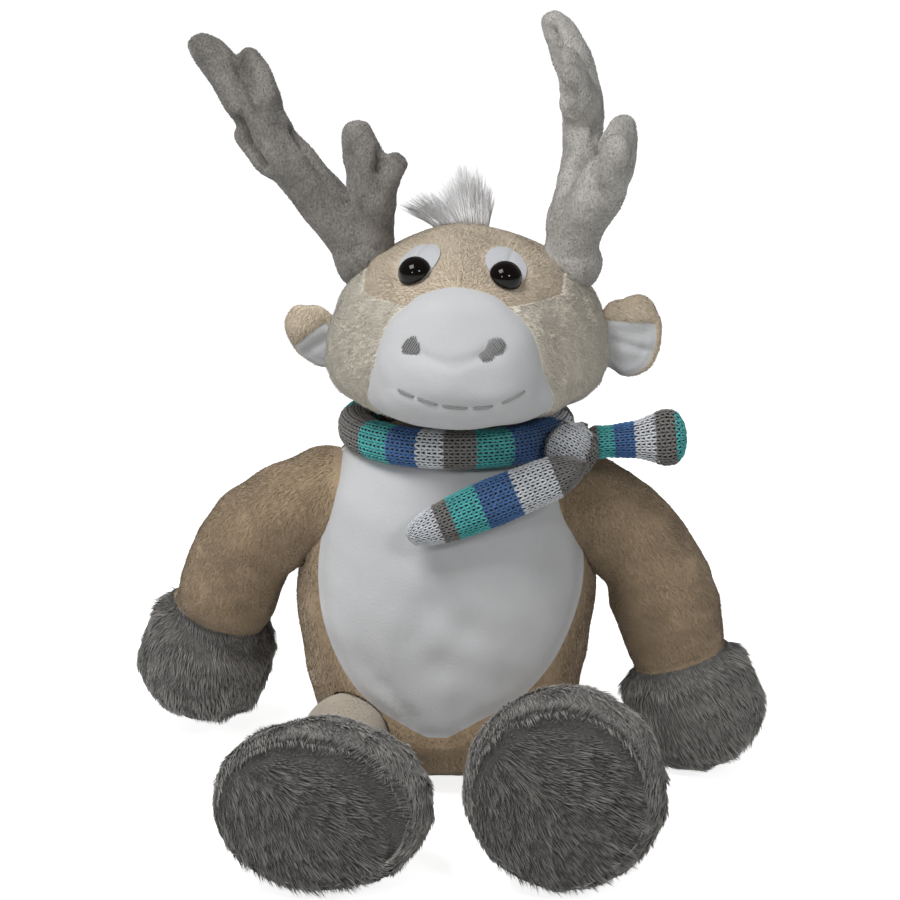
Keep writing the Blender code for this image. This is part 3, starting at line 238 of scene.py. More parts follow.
def between(rows: Sequence[Row], value: Any, column: int) -> Any:
    """The value in a column of a table, at a value of its first column."""
    return np.interp(value, [row[0] for row in rows], [row[column] for row in rows])


def ripple(points: Points, size: float, seed: int, waves: int = 7) -> Points:
    """Smooth uneven values from about -1 to 1, whose swells are about this size.

    Args:
        points: Points, one row each.
        size: How wide a swell is.
        seed: For the random draw.
        waves: How many waves are added up.

    Returns:
        A value for each point.
    """
    dice = np.random.default_rng(seed)
    ways = unit(dice.normal(size=(waves, 3)))
    lengths = size * dice.uniform(0.7, 1.6, waves)
    starts = dice.uniform(0, math.tau, waves)
    return np.sin(points @ (ways / lengths[:, None]).T * math.tau + starts).sum(1) / math.sqrt(waves)


def dip(distance: Points, width: float) -> Points:
    """One on a line and falling to nothing on both sides of it."""
    return np.exp(-((distance / width) ** 2))


def line_distance(points: Points, line: Sequence[Sequence[float]]) -> Points:
    """Distance of each point from a line of straight runs, in as many coordinates as the line has.

    Args:
        points: Points, one row each.
        line: The line's points.

    Returns:
        A distance for each point.
    """
    ends = np.asarray(line, float)
    flat = points[:, : ends.shape[1]]
    best = np.full(len(points), np.inf)
    for a, b in zip(ends, ends[1:]):
        way = b - a
        t = np.clip((flat - a) @ way / (way @ way), 0, 1)
        best = np.minimum(best, np.linalg.norm(flat - a - t[:, None] * way, axis=1))
    return best


def inside_outline(flat: Points, outline: Points) -> Points:
    """Distance to an outline in the plane, below zero inside it.

    Args:
        flat: Points of the plane.
        outline: The outline's points.

    Returns:
        A distance for each point.
    """
    ring = np.vstack([outline, outline[:1]])
    distance = line_distance(flat, ring)
    inside = np.zeros(len(flat), bool)
    for a, b in zip(ring, ring[1:]):
        crosses = (a[1] > flat[:, 1]) != (b[1] > flat[:, 1])
        run = b[1] - a[1] if abs(b[1] - a[1]) > 1e-12 else 1e-12
        inside ^= crosses & (flat[:, 0] < (b[0] - a[0]) * (flat[:, 1] - a[1]) / run + a[0])
    return np.where(inside, -distance, distance)


def linked(name: str, data: Any) -> bpy.types.Object:
    """A new object in the scene.

    Args:
        name: Its name.
        data: Its mesh, lamp or camera.

    Returns:
        The object.
    """
    made = bpy.data.objects.new(name, data)
    bpy.context.scene.collection.objects.link(made)
    return made


def evaluated(source: bpy.types.Object) -> bpy.types.Mesh:
    """Turns an object with its modifiers into a plain mesh.

    Args:
        source: The object, which is used up.

    Returns:
        The mesh.
    """
    mesh = bpy.data.meshes.new_from_object(source.evaluated_get(bpy.context.evaluated_depsgraph_get()))
    bpy.data.objects.remove(source, do_unlink=True)
    return mesh


def mark(mesh: bpy.types.Mesh, name: str, values: Points) -> None:
    """Stores a number or a vector at each point of a mesh.

    Args:
        mesh: The mesh.
        name: The attribute's name.
        values: One number or one row for each point.
    """
    kind, key = ("FLOAT_VECTOR", "vector") if values.ndim == 2 else ("FLOAT", "value")
    layer = mesh.attributes.new(name, kind, "POINT")
    layer.data.foreach_set(key, np.ascontiguousarray(values, np.float32).ravel())


@dataclass
class Skin:
    """A surface of points and faces."""

    points: Points
    faces: list[tuple[int, ...]]

    @classmethod
    def over(cls, rings: Points, loop: bool = False) -> "Skin":
        """The surface over rings. Poles become one point, and other ends stay open.

        Args:
            rings: The rings, in order.
            loop: True where the last ring leads back to the first.

        Returns:
            The surface, its faces outward.
        """
        count, sides = rings.shape[:2]
        flat = [np.ptp(ring, axis=0).max() < 1e-9 for ring in rings]
        index = np.zeros((count, sides), int)
        points: list[Points] = []
        for k, ring in enumerate(rings):
            if flat[k]:
                index[k] = len(points)
                points.append(ring[0])
            else:
                index[k] = np.arange(len(points), len(points) + sides)
                points.extend(ring)
        faces = []
        for k in range(count if loop else count - 1):
            low, high = index[k], index[(k + 1) % count]
            for i in range(sides):
                j = (i + 1) % sides
                corners = (low[i], low[j], high[j], high[i])
                faces.append(tuple(dict.fromkeys(int(c) for c in corners)))
        made = cls(np.array(points), [face for face in faces if len(face) > 2])
        return made.outward()

    def triangles(self) -> Points:
        """Every face as triangles of point numbers."""
        return np.array([(f[0], f[i], f[i + 1]) for f in self.faces for i in range(1, len(f) - 1)])

    def outward(self) -> "Skin":
        """The surface with its faces turned away from its middle."""
        t = self.points[self.triangles()]
        normal = np.cross(t[:, 1] - t[:, 0], t[:, 2] - t[:, 0])
        if (normal * (t.mean(1) - self.points.mean(0))).sum() < 0:
            return Skin(self.points, [face[::-1] for face in self.faces])
        return self

    def normals(self) -> Points:
        """The surface's direction at each point."""
        index = self.triangles()
        t = self.points[index]
        normal = np.cross(t[:, 1] - t[:, 0], t[:, 2] - t[:, 0])
        total = np.zeros_like(self.points)
        for corner in range(3):
            np.add.at(total, index[:, corner], normal)
        return unit(total)

    def pushed(self, amounts: Points | float) -> "Skin":
        """The surface moved outwards by an amount at each point."""
        return Skin(self.points + self.normals() * np.reshape(amounts, (-1, 1)), self.faces)

    def placed(self, matrix: Points) -> "Skin":
        """The surface in another space."""
        return Skin(placed(self.points, matrix), self.faces)

    def tree(self) -> BVHTree:
        """A search tree of the faces."""
        return BVHTree.FromPolygons([Vector(p) for p in self.points], self.faces)

    def cut(self, test: Callable[[Points], Points]) -> tuple["Skin", "Skin"]:
        """Cuts the surface along the line where the test is zero.

        Args:
            test: Gives a value for each point, below zero on the first side.

        Returns:
            The side below zero and the other side.
        """
        bm = bmesh.new()
        values = test(self.points)
        values[np.abs(values) < 2e-5] = 0
        verts = [bm.verts.new(p) for p in self.points]
        at = dict(zip(verts, values.tolist()))
        for face in self.faces:
            bm.faces.new([verts[i] for i in face])
        for edge in list(bm.edges):
            a, b = edge.verts
            if at[a] * at[b] < 0:
                share = at[a] / (at[a] - at[b])
                at[bmesh.utils.edge_split(edge, a, share)[1]] = 0.0
        for face in list(bm.faces):
            on = [v for v in face.verts if at[v] == 0]
            signs = {at[v] > 0 for v in face.verts if at[v] != 0}
            if len(signs) == 2 and len(on) == 2:
                bmesh.utils.face_split(face, on[0], on[1])
        parts = []
        for below in (True, False):
            chosen = [f for f in bm.faces if (sum(at[v] for v in f.verts) < 0) == below]
            used = {v: i for i, v in enumerate(dict.fromkeys(v for f in chosen for v in f.verts))}
            points = np.array([v.co for v in used]).reshape(-1, 3)
            parts.append(Skin(points, [tuple(used[v] for v in f.verts) for f in chosen]))
        bm.free()
        return parts[0], parts[1]

    def joined(self, *others: "Skin") -> "Skin":
        """This surface and others as one.

        Args:
            others: The other surfaces.

        Returns:
            The one surface.
        """
        points, faces = [self.points], list(self.faces)
        start = len(self.points)
        for other in others:
            points.append(other.points)
            faces += [tuple(i + start for i in face) for face in other.faces]
            start += len(other.points)
        return Skin(np.vstack(points), faces)

    def build(self, name: str, material: bpy.types.Material | None = None) -> bpy.types.Object:
        """An object of this surface, shaded smooth.

        Args:
            name: Its name.
            material: Its material, if it has one.

        Returns:
            The object.
        """
        mesh = bpy.data.meshes.new(name)
        mesh.from_pydata(self.points.tolist(), [], self.faces)
        mesh.shade_smooth()
        if material:
            mesh.materials.append(material)
        return linked(name, mesh)


# Node trees


@dataclass
class Weaver:
    """Adds nodes to a tree and joins their sockets."""

    tree: bpy.types.NodeTree

    def add(self, kind: str, *inputs: Any, named: dict[str, Any] | None = None, **settings: Any) -> bpy.types.Node:
        """Adds one node.

        Args:
            kind: The node's type.
            inputs: Values or sockets for its first inputs, with None to skip one.
            named: Values or sockets for inputs by name.
            settings: The node's own properties.

        Returns:
            The node.
        """
        node = self.tree.nodes.new(kind)
        for key, value in settings.items():
            setattr(node, key, value)
        pairs = [(node.inputs[i], value) for i, value in enumerate(inputs) if value is not None]
        pairs += [(node.inputs[key], value) for key, value in (named or {}).items()]
        for socket, value in pairs:
            if isinstance(value, bpy.types.NodeSocket):
                self.tree.links.new(value, socket)
            else:
                socket.default_value = value
        return node

    def maths(self, operation: str, *inputs: Any) -> bpy.types.NodeSocket:
        """The result of a sum on numbers."""
        return self.add("ShaderNodeMath", *inputs, operation=operation).outputs[0]

    def vectors(self, operation: str, a: Any, b: Any = None, scale: Any = None) -> bpy.types.NodeSocket:
        """The result of a sum on vectors.

        Args:
            operation: The sum.
            a: The first value or socket.
            b: The second.
            scale: A factor, where the sum takes one.

        Returns:
            The result's socket.
        """
        node = self.add("ShaderNodeVectorMath", a, b, operation=operation)
        if isinstance(scale, bpy.types.NodeSocket):
            self.tree.links.new(scale, node.inputs["Scale"])
        elif scale is not None:
            node.inputs["Scale"].default_value = scale
        return node.outputs[0]

    def attribute(self, name: str, kind: str = "FLOAT") -> bpy.types.NodeSocket:
        """A named attribute of the geometry."""
        return self.add("GeometryNodeInputNamedAttribute", name, data_type=kind).outputs[0]


@dataclass
class Growth:
    """A geometry tree that plants or lays the same small shape many times, and its named inputs."""

    name: str
    sockets: dict[str, tuple[str, Any]]
    tree: bpy.types.NodeTree = field(init=False)
    weaver: Weaver = field(init=False)
    given: bpy.types.Node = field(init=False)

    def __post_init__(self) -> None:
        """Makes the empty tree and its inputs."""
        self.tree = bpy.data.node_groups.new(self.name, "GeometryNodeTree")
        face = self.tree.interface
        face.new_socket("Geometry", in_out="INPUT", socket_type="NodeSocketGeometry")
        face.new_socket("Geometry", in_out="OUTPUT", socket_type="NodeSocketGeometry")
        for name, (kind, default) in self.sockets.items():
            made = face.new_socket(name, in_out="INPUT", socket_type=f"NodeSocket{kind}")
            if default is not None:
                made.default_value = default
        face.new_socket("Finish", in_out="INPUT", socket_type="NodeSocketMaterial")
        self.weaver = Weaver(self.tree)
        self.given = self.weaver.add("NodeGroupInput")

    def wanted(self, name: str) -> bpy.types.NodeSocket:
        """The tree's own input of this name."""
        return self.given.outputs[name]

    def finish(self, instances: bpy.types.NodeSocket) -> None:
        """Makes the copies real, gives them their finish and ends the tree.

        Args:
            instances: The copies.
        """
        real = self.weaver.add("GeometryNodeRealizeInstances", instances)
        done = self.weaver.add("GeometryNodeSetMaterial", real.outputs[0], None, self.wanted("Finish"))
        self.weaver.add("NodeGroupOutput", done.outputs[0])

    def grow(
        self, source: bpy.types.Object, name: str, finish: bpy.types.Material, values: dict[str, Any]
    ) -> bpy.types.Object:
        """Runs the tree on an object and turns the result into a plain mesh.

        Args:
            source: The object to plant on, which is used up.
            name: The new piece's name.
            finish: Its material.
            values: The named inputs.

        Returns:
            The new piece.
        """
        modifier = source.modifiers.new(self.name, "NODES")
        modifier.node_group = self.tree
        known = {item.name: item.identifier for item in self.tree.interface.items_tree if item.in_out == "INPUT"}
        for key, value in {**values, "Finish": finish}.items():
            modifier[known[key]] = value
        source.update_tag()
        bpy.context.view_layer.update()
        mesh = evaluated(source)
        mesh.name = name
        mesh.materials.clear()
        mesh.materials.append(finish)
        mesh.shade_smooth()
        to_palette(mesh)
        return linked(name, mesh)


def to_palette(mesh: bpy.types.Mesh) -> None:
    """Lays each small copy on its tone's strip of the palette map: tone across, and root to tip upwards.

    Args:
        mesh: The mesh, with its tone, shaft and girth attributes.
    """
    count = len(mesh.vertices)
    tone, shaft = np.zeros(count, np.float32), np.zeros(count, np.float32)
    girth = np.arange(count, dtype=np.float32) % 2
    for name, values in (("tone", tone), ("shaft", shaft), ("girth", girth)):
        if name in mesh.attributes:
            mesh.attributes[name].data.foreach_get("value", values)
    corners = np.zeros(len(mesh.loops), np.int32)
    mesh.loops.foreach_get("vertex_index", corners)
    cell = np.clip(np.floor(tone * TONES), 0, TONES - 1)
    places = np.stack([(cell + 0.15 + 0.7 * girth) / TONES, 0.02 + 0.96 * shaft], 1)[corners]
    layer = mesh.uv_layers.new(name=PALETTE_MAP)
    layer.uv.foreach_set("vector", places.astype(np.float32).ravel())
    for name in [a.name for a in mesh.attributes if a.name not in ("position", PALETTE_MAP) and not a.is_internal]:
        if name in mesh.attributes and name not in ("material_index", "sharp_face"):
            mesh.attributes.remove(mesh.attributes[name])


def pile_growth() -> Growth:
    """The tree that plants bent, tapered strands over a surface, combed along its comb attribute."""
    made = Growth(
        "pile",
        {
            "Density": ("Float", 1e6),
            "Length": ("Float", 0.003),
            "Width": ("Float", 0.0005),
            "Bend": ("Float", 0.2),
            "Lean": ("Float", 1.0),
            "Swirl": ("Float", 0.3),
            "Swirl Size": ("Float", 0.006),
            "Wildness": ("Float", 0.3),
            "Shortest": ("Float", 0.7),
            "Segments": ("Int", 1),
            "Patches": ("Float", 0.5),
            "Clumps": ("Float", 0.3),
            "Seed": ("Int", 1),
        },
    )
    w, want = made.weaver, made.wanted
    cone = w.add(
        "GeometryNodeMeshCone", 3, want("Segments"), 1, 0.0, w.maths("MULTIPLY", want("Width"), 0.5), want("Length"),
        fill_type="NGON",
    )
    parts = w.add("ShaderNodeSeparateXYZ", w.add("GeometryNodeInputPosition").outputs[0]).outputs
    shaft = w.maths("DIVIDE", parts[2], want("Length"))
    girth = w.maths("ADD", w.maths("DIVIDE", parts[0], want("Width")), 0.5)
    kept = w.add("GeometryNodeStoreNamedAttribute", cone.outputs[0], None, "shaft", shaft)
    kept = w.add("GeometryNodeStoreNamedAttribute", kept.outputs[0], None, "girth", girth)
    bend = w.maths("MULTIPLY", w.maths("MULTIPLY", want("Bend"), want("Length")), w.maths("MULTIPLY", shaft, shaft))
    bent = w.add("GeometryNodeSetPosition", kept.outputs[0], None, None, w.add("ShaderNodeCombineXYZ", bend).outputs[0])

    cover = w.maths("MULTIPLY", want("Density"), w.attribute("cover"))
    spread = w.add(
        "GeometryNodeDistributePointsOnFaces",
        want("Geometry"),
        named={"Density": cover, "Seed": want("Seed")},
        distribute_method="RANDOM",
    )
    place = w.add("GeometryNodeInputPosition").outputs[0]
    scale = w.maths("DIVIDE", 1.0, want("Swirl Size"))
    cloud = w.add("ShaderNodeTexNoise", named={"Vector": place, "Scale": scale, "Detail": 1.0})
    swirl = w.vectors("SUBTRACT", cloud.outputs[1], (0.5, 0.5, 0.5))
    swirl = w.vectors("SCALE", swirl, scale=w.maths("MULTIPLY", want("Swirl"), 2.0))
    chance = w.add("FunctionNodeRandomValue", data_type="FLOAT_VECTOR", named={"Seed": want("Seed")})
    chance.inputs[0].default_value, chance.inputs[1].default_value = (-1, -1, -1), (1, 1, 1)
    wild = w.vectors("SCALE", chance.outputs[0], scale=want("Wildness"))
    comb = w.vectors("SCALE", w.attribute("comb", "FLOAT_VECTOR"), scale=want("Lean"))
    way = w.vectors("ADD", w.vectors("ADD", spread.outputs["Normal"], comb), w.vectors("ADD", swirl, wild))
    stand = w.add("FunctionNodeAlignRotationToVector", None, 1.0, way, axis="Z")
    turn = w.add("FunctionNodeAlignRotationToVector", stand.outputs[0], 1.0, comb, axis="X", pivot_axis="Z")
    size = w.add("FunctionNodeRandomValue", data_type="FLOAT", named={"Seed": w.maths("ADD", want("Seed"), 7.0)})
    w.tree.links.new(want("Shortest"), size.inputs[2])
    size.inputs[3].default_value = 1.0
    taller = w.maths("MULTIPLY", w.maths("SUBTRACT", w.maths("MULTIPLY", cloud.outputs[0], 2.0), 1.0), want("Clumps"))
    length = w.maths("MULTIPLY", size.outputs[1], w.attribute("grow"))
    length = w.maths("MULTIPLY", length, w.maths("ADD", taller, 1.0))
    planted = w.add(
        "GeometryNodeInstanceOnPoints",
        spread.outputs[0],
        named={"Instance": bent.outputs[0], "Rotation": turn.outputs[0], "Scale": length},
    )
    luck = w.add("FunctionNodeRandomValue", data_type="FLOAT", named={"Seed": w.maths("ADD", want("Seed"), 3.0)})
    mixed = w.add("ShaderNodeMix", want("Patches"), None, luck.outputs[1], cloud.outputs[0]).outputs[0]
    toned = w.add("GeometryNodeStoreNamedAttribute", planted.outputs[0], None, "tone", mixed, domain="INSTANCE")
    made.finish(toned.outputs[0])
    return made


def laid_growth(made: Growth, shape: bpy.types.NodeSocket) -> Growth:
    """Ends a tree that lays a shape on every point, turned and sized by the point's attributes.

    Args:
        made: The tree so far.
        shape: What is laid on each point.

    Returns:
        The finished tree.
    """
    w = made.weaver
    stand = w.add("FunctionNodeAlignRotationToVector", None, 1.0, w.attribute("face", "FLOAT_VECTOR"), axis="Z")
    way = w.attribute("way", "FLOAT_VECTOR")
    turn = w.add("FunctionNodeAlignRotationToVector", stand.outputs[0], 1.0, way, axis="Y", pivot_axis="Z")
    laid = w.add(
        "GeometryNodeInstanceOnPoints",
        made.wanted("Geometry"),
        named={"Instance": shape, "Rotation": turn.outputs[0], "Scale": w.attribute("size", "FLOAT_VECTOR")},
    )
    made.finish(laid.outputs[0])
    return made


def bent_yarn(
    made: Growth, thick: bpy.types.NodeSocket, points: Sequence[Sequence[float]], steps: int, sides: int
) -> bpy.types.NodeSocket:
    """One run of yarn through three points, as a tube.

    Args:
        made: The tree so far.
        thick: The yarn's half-width.
        points: The start, the bend and the end.
        steps: How many runs the line has.
        sides: How many points to a ring.

    Returns:
        The tube.
    """
    w = made.weaver
    line = w.add("GeometryNodeCurveQuadraticBezier", steps, *points)
    part = w.add("GeometryNodeSplineParameter").outputs[0]
    kept = w.add("GeometryNodeStoreNamedAttribute", line.outputs[0], None, "shaft", part)
    ring = w.add("GeometryNodeCurvePrimitiveCircle", named={"Resolution": sides, "Radius": thick})
    tube = w.add("GeometryNodeCurveToMesh", kept.outputs[0], ring.outputs[0], named={"Fill Caps": True})
    return tube.outputs[0]


def knit_growth() -> Growth:
    """The tree that lays one V of yarn on every stitch of a knitted piece."""
    made = Growth("knit", {"Yarn": ("Float", 0.17)})
    legs = made.weaver.add("GeometryNodeJoinGeometry")
    for side in (-1, 1):
        points = ((side * 0.06, -0.5, -0.06), (side * 0.36, -0.05, 0.34), (side * 0.36, 0.72, -0.1))
        leg = bent_yarn(made, made.wanted("Yarn"), points, 3, 4)
        made.tree.links.new(leg, legs.inputs[0])
    return laid_growth(made, legs.outputs[0])


def thread_growth() -> Growth:
    """The tree that lays one short stitch of thread on every point."""
    made = Growth("thread", {"Thread": ("Float", 0.5)})
    shape = bent_yarn(made, made.wanted("Thread"), ((0, -0.5, -0.25), (0, 0, 0.9), (0, 0.5, -0.25)), 6, 6)
    return laid_growth(made, shape)


# Finishes


def fresh(name: str) -> tuple[bpy.types.Material, Weaver, bpy.types.Node]:
    """A new material, a weaver for its nodes, and its shader.

    Args:
        name: Its name.
    """
    made = bpy.data.materials.new(name)
    made.use_nodes = True
    return made, Weaver(made.node_tree), made.node_tree.nodes["Principled BSDF"]


def blend_colours(w: Weaver, share: Any, a: Any, b: Any) -> bpy.types.NodeSocket:
    """A colour between two others.

    Args:
        w: The weaver of the tree.
        share: The share of the second colour.
        a: The first value or socket.
        b: The second.

    Returns:
        The colour.
    """
    node = w.add("ShaderNodeMix", data_type="RGBA")
    for socket, value in ((node.inputs[0], share), (node.inputs[6], a), (node.inputs[7], b)):
        if isinstance(value, bpy.types.NodeSocket):
            w.tree.links.new(value, socket)
        else:
            socket.default_value = (*value, 1) if isinstance(value, tuple) else value
    return node.outputs[2]


def stretched(w: Weaver, share: bpy.types.NodeSocket, low: float, high: float) -> bpy.types.NodeSocket:
    """The share of the way between two values, kept from 0 to 1."""
    return w.add("ShaderNodeMapRange", share, low, high, 0.0, 1.0).outputs[0]


def palette(w: Weaver) -> bpy.types.bpy_prop_collection:
    """The place on the palette map, as numbers: tone across and shaft upwards."""
    place = w.add("ShaderNodeUVMap", uv_map=PALETTE_MAP).outputs[0]
    return w.add("ShaderNodeSeparateXYZ", place).outputs


def settle(w: Weaver, shader: bpy.types.Node, values: dict[str, Any]) -> None:
    """Sets the shader's inputs by name, to a value or from a socket."""
    for key, value in values.items():
        if isinstance(value, bpy.types.NodeSocket):
            w.tree.links.new(value, shader.inputs[key])
        else:
            shader.inputs[key].default_value = value


@dataclass(frozen=True)
class Cloth:
    """A cloth with a nap: two shades in soft patches, a fine grain and a relief."""

    name: str
    light: Row
    dark: Row
    patch: float = 0.02
    grain: float = 0.0012
    relief: float = 0.0004
    speck: float = 0.25
    stretch: Row = (1.0, 1.0, 1.0)
    sheen: float = 0.25
    roughness: float = 0.95

    def make(self) -> bpy.types.Material:
        """The material."""
        made, w, shader = fresh(self.name)
        place = w.add("ShaderNodeMapping", w.add("ShaderNodeTexCoord").outputs["Object"], named={"Scale": self.stretch})
        wide = w.add(
            "ShaderNodeTexNoise", place.outputs[0], named={"Scale": 1 / self.patch, "Detail": 3.0, "Distortion": 0.6}
        )
        fine = w.add("ShaderNodeTexNoise", place.outputs[0], named={"Scale": 1 / self.grain, "Detail": 2.0})
        share = stretched(w, wide.outputs[0], 0.3, 0.7)
        speck = w.maths("MULTIPLY", w.maths("SUBTRACT", fine.outputs[0], 0.5), self.speck * 2)
        share = w.add("ShaderNodeMath", share, speck, operation="ADD", use_clamp=True).outputs[0]
        colour = blend_colours(w, share, self.dark, self.light)
        bump = w.add("ShaderNodeBump", named={"Strength": 0.8, "Distance": self.relief, "Height": fine.outputs[0]})
        settle(w, shader, {"Base Color": colour, "Normal": bump.outputs[0], "Roughness": self.roughness})
        settle(w, shader, {"Sheen Weight": self.sheen, "Sheen Roughness": 0.5})
        return made


@dataclass(frozen=True)
class Strands:
    """Strands of pile: painted shade darkens the root, the tip is paler, and each strand has its own tone."""

    name: str
    root: Row
    tip: Row
    spread: float = 0.3
    power: float = 1.2
    sheen: float = 0.1

    def make(self) -> bpy.types.Material:
        """The material."""
        made, w, shader = fresh(self.name)
        parts = palette(w)
        # Root to tip: the darker root is painted shade among the strands.
        colour = blend_colours(w, w.maths("POWER", parts[1], self.power), self.root, self.tip)
        shade = blend_colours(w, parts[0], (1 - self.spread,) * 3, (1 + self.spread,) * 3)
        node = w.add("ShaderNodeMix", data_type="RGBA", blend_type="MULTIPLY")
        node.inputs[0].default_value = 1.0
        w.tree.links.new(colour, node.inputs[6])
        w.tree.links.new(shade, node.inputs[7])
        settle(w, shader, {"Base Color": node.outputs[2], "Roughness": 0.9, "Sheen Weight": self.sheen})
        return made


@dataclass(frozen=True)
class Yarns:
    """Twisted yarns in the scarf's colours, chosen by the palette map."""

    name: str
    colours: tuple[Row, ...]
    spread: float = 0.25

    def make(self) -> bpy.types.Material:
        """The material."""
        made, w, shader = fresh(self.name)
        parts = palette(w)
        ramp = w.add("ShaderNodeValToRGB", parts[0])
        ramp.color_ramp.interpolation = "CONSTANT"
        stops = ramp.color_ramp.elements
        stops.remove(stops[1])
        for i, colour in enumerate(self.colours):
            stop = stops[0] if i == 0 else stops.new(i / len(self.colours))
            stop.position, stop.color = i / len(self.colours), (*colour, 1)
        own = w.maths("FRACT", w.maths("MULTIPLY", parts[0], float(len(self.colours))))
        # Painted shade of the twist: light and dark bands along the yarn.
        twist_shade = w.maths("SINE", w.maths("ADD", w.maths("MULTIPLY", parts[1], 26.0), w.maths("MULTIPLY", own, 40.0)))
        level = w.maths("ADD", w.maths("MULTIPLY", twist_shade, 0.14), w.maths("MULTIPLY", own, self.spread))
        level = w.maths("ADD", level, 1 - self.spread / 2)
        scaled = w.add("ShaderNodeVectorMath", ramp.outputs[0], operation="SCALE")
        w.tree.links.new(level, scaled.inputs["Scale"])
        settle(w, shader, {"Base Color": scaled.outputs[0], "Roughness": 0.9, "Sheen Weight": 0.2})
        return made


@dataclass(frozen=True)
class Plain:
    """A moulded or woven material of one colour with a slight unevenness."""

    name: str
    colour: Row
    roughness: float
    grain: float = 0.002
    relief: float = 0.00005
    index: float = 1.5
    sheen: float = 0.0

    def make(self) -> bpy.types.Material:
        """The material."""
        made, w, shader = fresh(self.name)
        place = w.add("ShaderNodeTexCoord").outputs["Object"]
        fine = w.add("ShaderNodeTexNoise", place, named={"Scale": 1 / self.grain, "Detail": 3.0})
        dark = tuple(c * 0.82 for c in self.colour)
        colour = blend_colours(w, fine.outputs[0], dark, self.colour)
        bump = w.add("ShaderNodeBump", named={"Strength": 0.6, "Distance": self.relief, "Height": fine.outputs[0]})
        settle(w, shader, {"Base Color": colour, "Normal": bump.outputs[0], "Roughness": self.roughness})
        settle(w, shader, {"IOR": self.index, "Sheen Weight": self.sheen})
        return made


FINISHES = {
    made.name: made
    for made in (
        Cloth(
            "beige_plush", (0.38, 0.28, 0.176), (0.29, 0.212, 0.132), patch=0.018, relief=0.0004, stretch=(1, 1, 0.4)
        ),
        # The head's and ears' beige: the body's beige made paler as painted light from above and painted sheen of the
        # nap.
        Cloth("crown_plush", (0.62, 0.525, 0.4), (0.54, 0.455, 0.345), patch=0.02, relief=0.0004, stretch=(1, 1, 0.5)),
        Cloth("cream_plush", (0.82, 0.775, 0.67), (0.72, 0.67, 0.565), patch=0.008, relief=0.0006),
        Cloth(
            "white_velour", (0.565, 0.57, 0.58), (0.5, 0.505, 0.515), patch=0.03, grain=0.0008, relief=0.0002, speck=0.2
        ),
        # Under the long grey pile: near black as painted shade deep in the pile.
        Cloth("grey_plush", (0.16, 0.155, 0.147), (0.08, 0.077, 0.073), patch=0.01, relief=0.001),
        # The antlers share one velour: the left copy is darker as painted shade, the right copy paler as painted light.
        Cloth(
            "left_velour", (0.25, 0.236, 0.217), (0.115, 0.108, 0.098), patch=0.01, grain=0.0008, relief=0.0007,
            speck=0.9, stretch=(1, 1, 0.6),
        ),
        Cloth(
            "right_velour", (0.48, 0.462, 0.435), (0.26, 0.25, 0.232), patch=0.01, grain=0.0008, relief=0.0007,
            speck=0.9, stretch=(1, 1, 0.6),
        ),
        # The legs' beige: the body's beige made paler as painted light.
        Cloth("leg_plush", (0.47, 0.415, 0.34), (0.38, 0.33, 0.265), patch=0.02, relief=0.0004),
        # The sole: a darker copy of the foot's grey, as painted shade where it faces away from the light above and sits
        # deep in its pile.
        Cloth("sole_plush", (0.08, 0.077, 0.073), (0.04, 0.0385, 0.0365), patch=0.01, relief=0.001),
        Strands("beige_pile", (0.34, 0.25, 0.16), (0.41, 0.305, 0.192), spread=0.08),
        # The legs' strands: the body's beige strands made paler as painted light.
        Strands("leg_pile", (0.45, 0.4, 0.325), (0.56, 0.5, 0.41), spread=0.06),
        # The crown's strands: the body's beige strands made paler as painted light from above.
        Strands("crown_pile", (0.53, 0.445, 0.335), (0.6, 0.505, 0.38), spread=0.04),
        Strands("cream_pile", (0.72, 0.67, 0.57), (0.88, 0.83, 0.725), spread=0.03),
        Strands("grey_pile", (0.08, 0.077, 0.072), (0.72, 0.695, 0.66), spread=0.45, power=1.6),
        # The sole's strands: a darker copy of the grey pile, as painted shade.
        Strands("sole_pile", (0.04, 0.0385, 0.036), (0.6, 0.58, 0.55), spread=0.45, power=1.9),
        Strands("white_pile", (0.9, 0.9, 0.91), (0.97, 0.97, 0.98), spread=0.02, sheen=0.6),
        # The antlers' nap: darker on the left as painted shade, paler on the right as painted light.
        Strands("left_nap", (0.138, 0.13, 0.119), (0.232, 0.221, 0.202), spread=0.25),
        Strands("right_nap", (0.31, 0.297, 0.277), (0.47, 0.453, 0.426), spread=0.22),
        Yarns("scarf_yarn", ((0.19, 0.18, 0.17), (0.07, 0.42, 0.42), (0.05, 0.14, 0.34), (0.62, 0.64, 0.67))),
        # Near black, so that the gaps between the stitches show painted shade.
        Plain("scarf_core", (0.035, 0.04, 0.045), 0.95),
        Plain("grey_thread", (0.24, 0.24, 0.24), 0.6, grain=0.0004, relief=0.0001, sheen=0.2),
        Plain("white_satin", (0.62, 0.63, 0.66), 0.38, grain=0.0012, relief=0.00006, sheen=0.3),
        Plain("eye_gloss", (0.003, 0.0015, 0.001), 0.03, relief=0.0, index=1.3),
        Plain("washer_plastic", (0.7, 0.7, 0.67), 0.45),
        Plain("fibre_fill", (0.8, 0.8, 0.77), 0.95, grain=0.003, relief=0.0006),
        Plain("pellet_cloth", (0.5, 0.52, 0.57), 0.7, grain=0.0028, relief=0.0012),
    )
}


# Dressing


@dataclass(frozen=True)
class Coat:
    """The pile on a cover: strand sizes in metres and strands to the square millimetre."""

    finish: str
    length: float
    width: float
    density: float
    lean: float = 1.2
    bend: float = 0.25
    swirl: float = 0.35
    swirl_size: float = 0.006
    wildness: float = 0.25
    segments: int = 1
    shortest: float = 0.65
    patches: float = 0.5
    clumps: float = 0.3


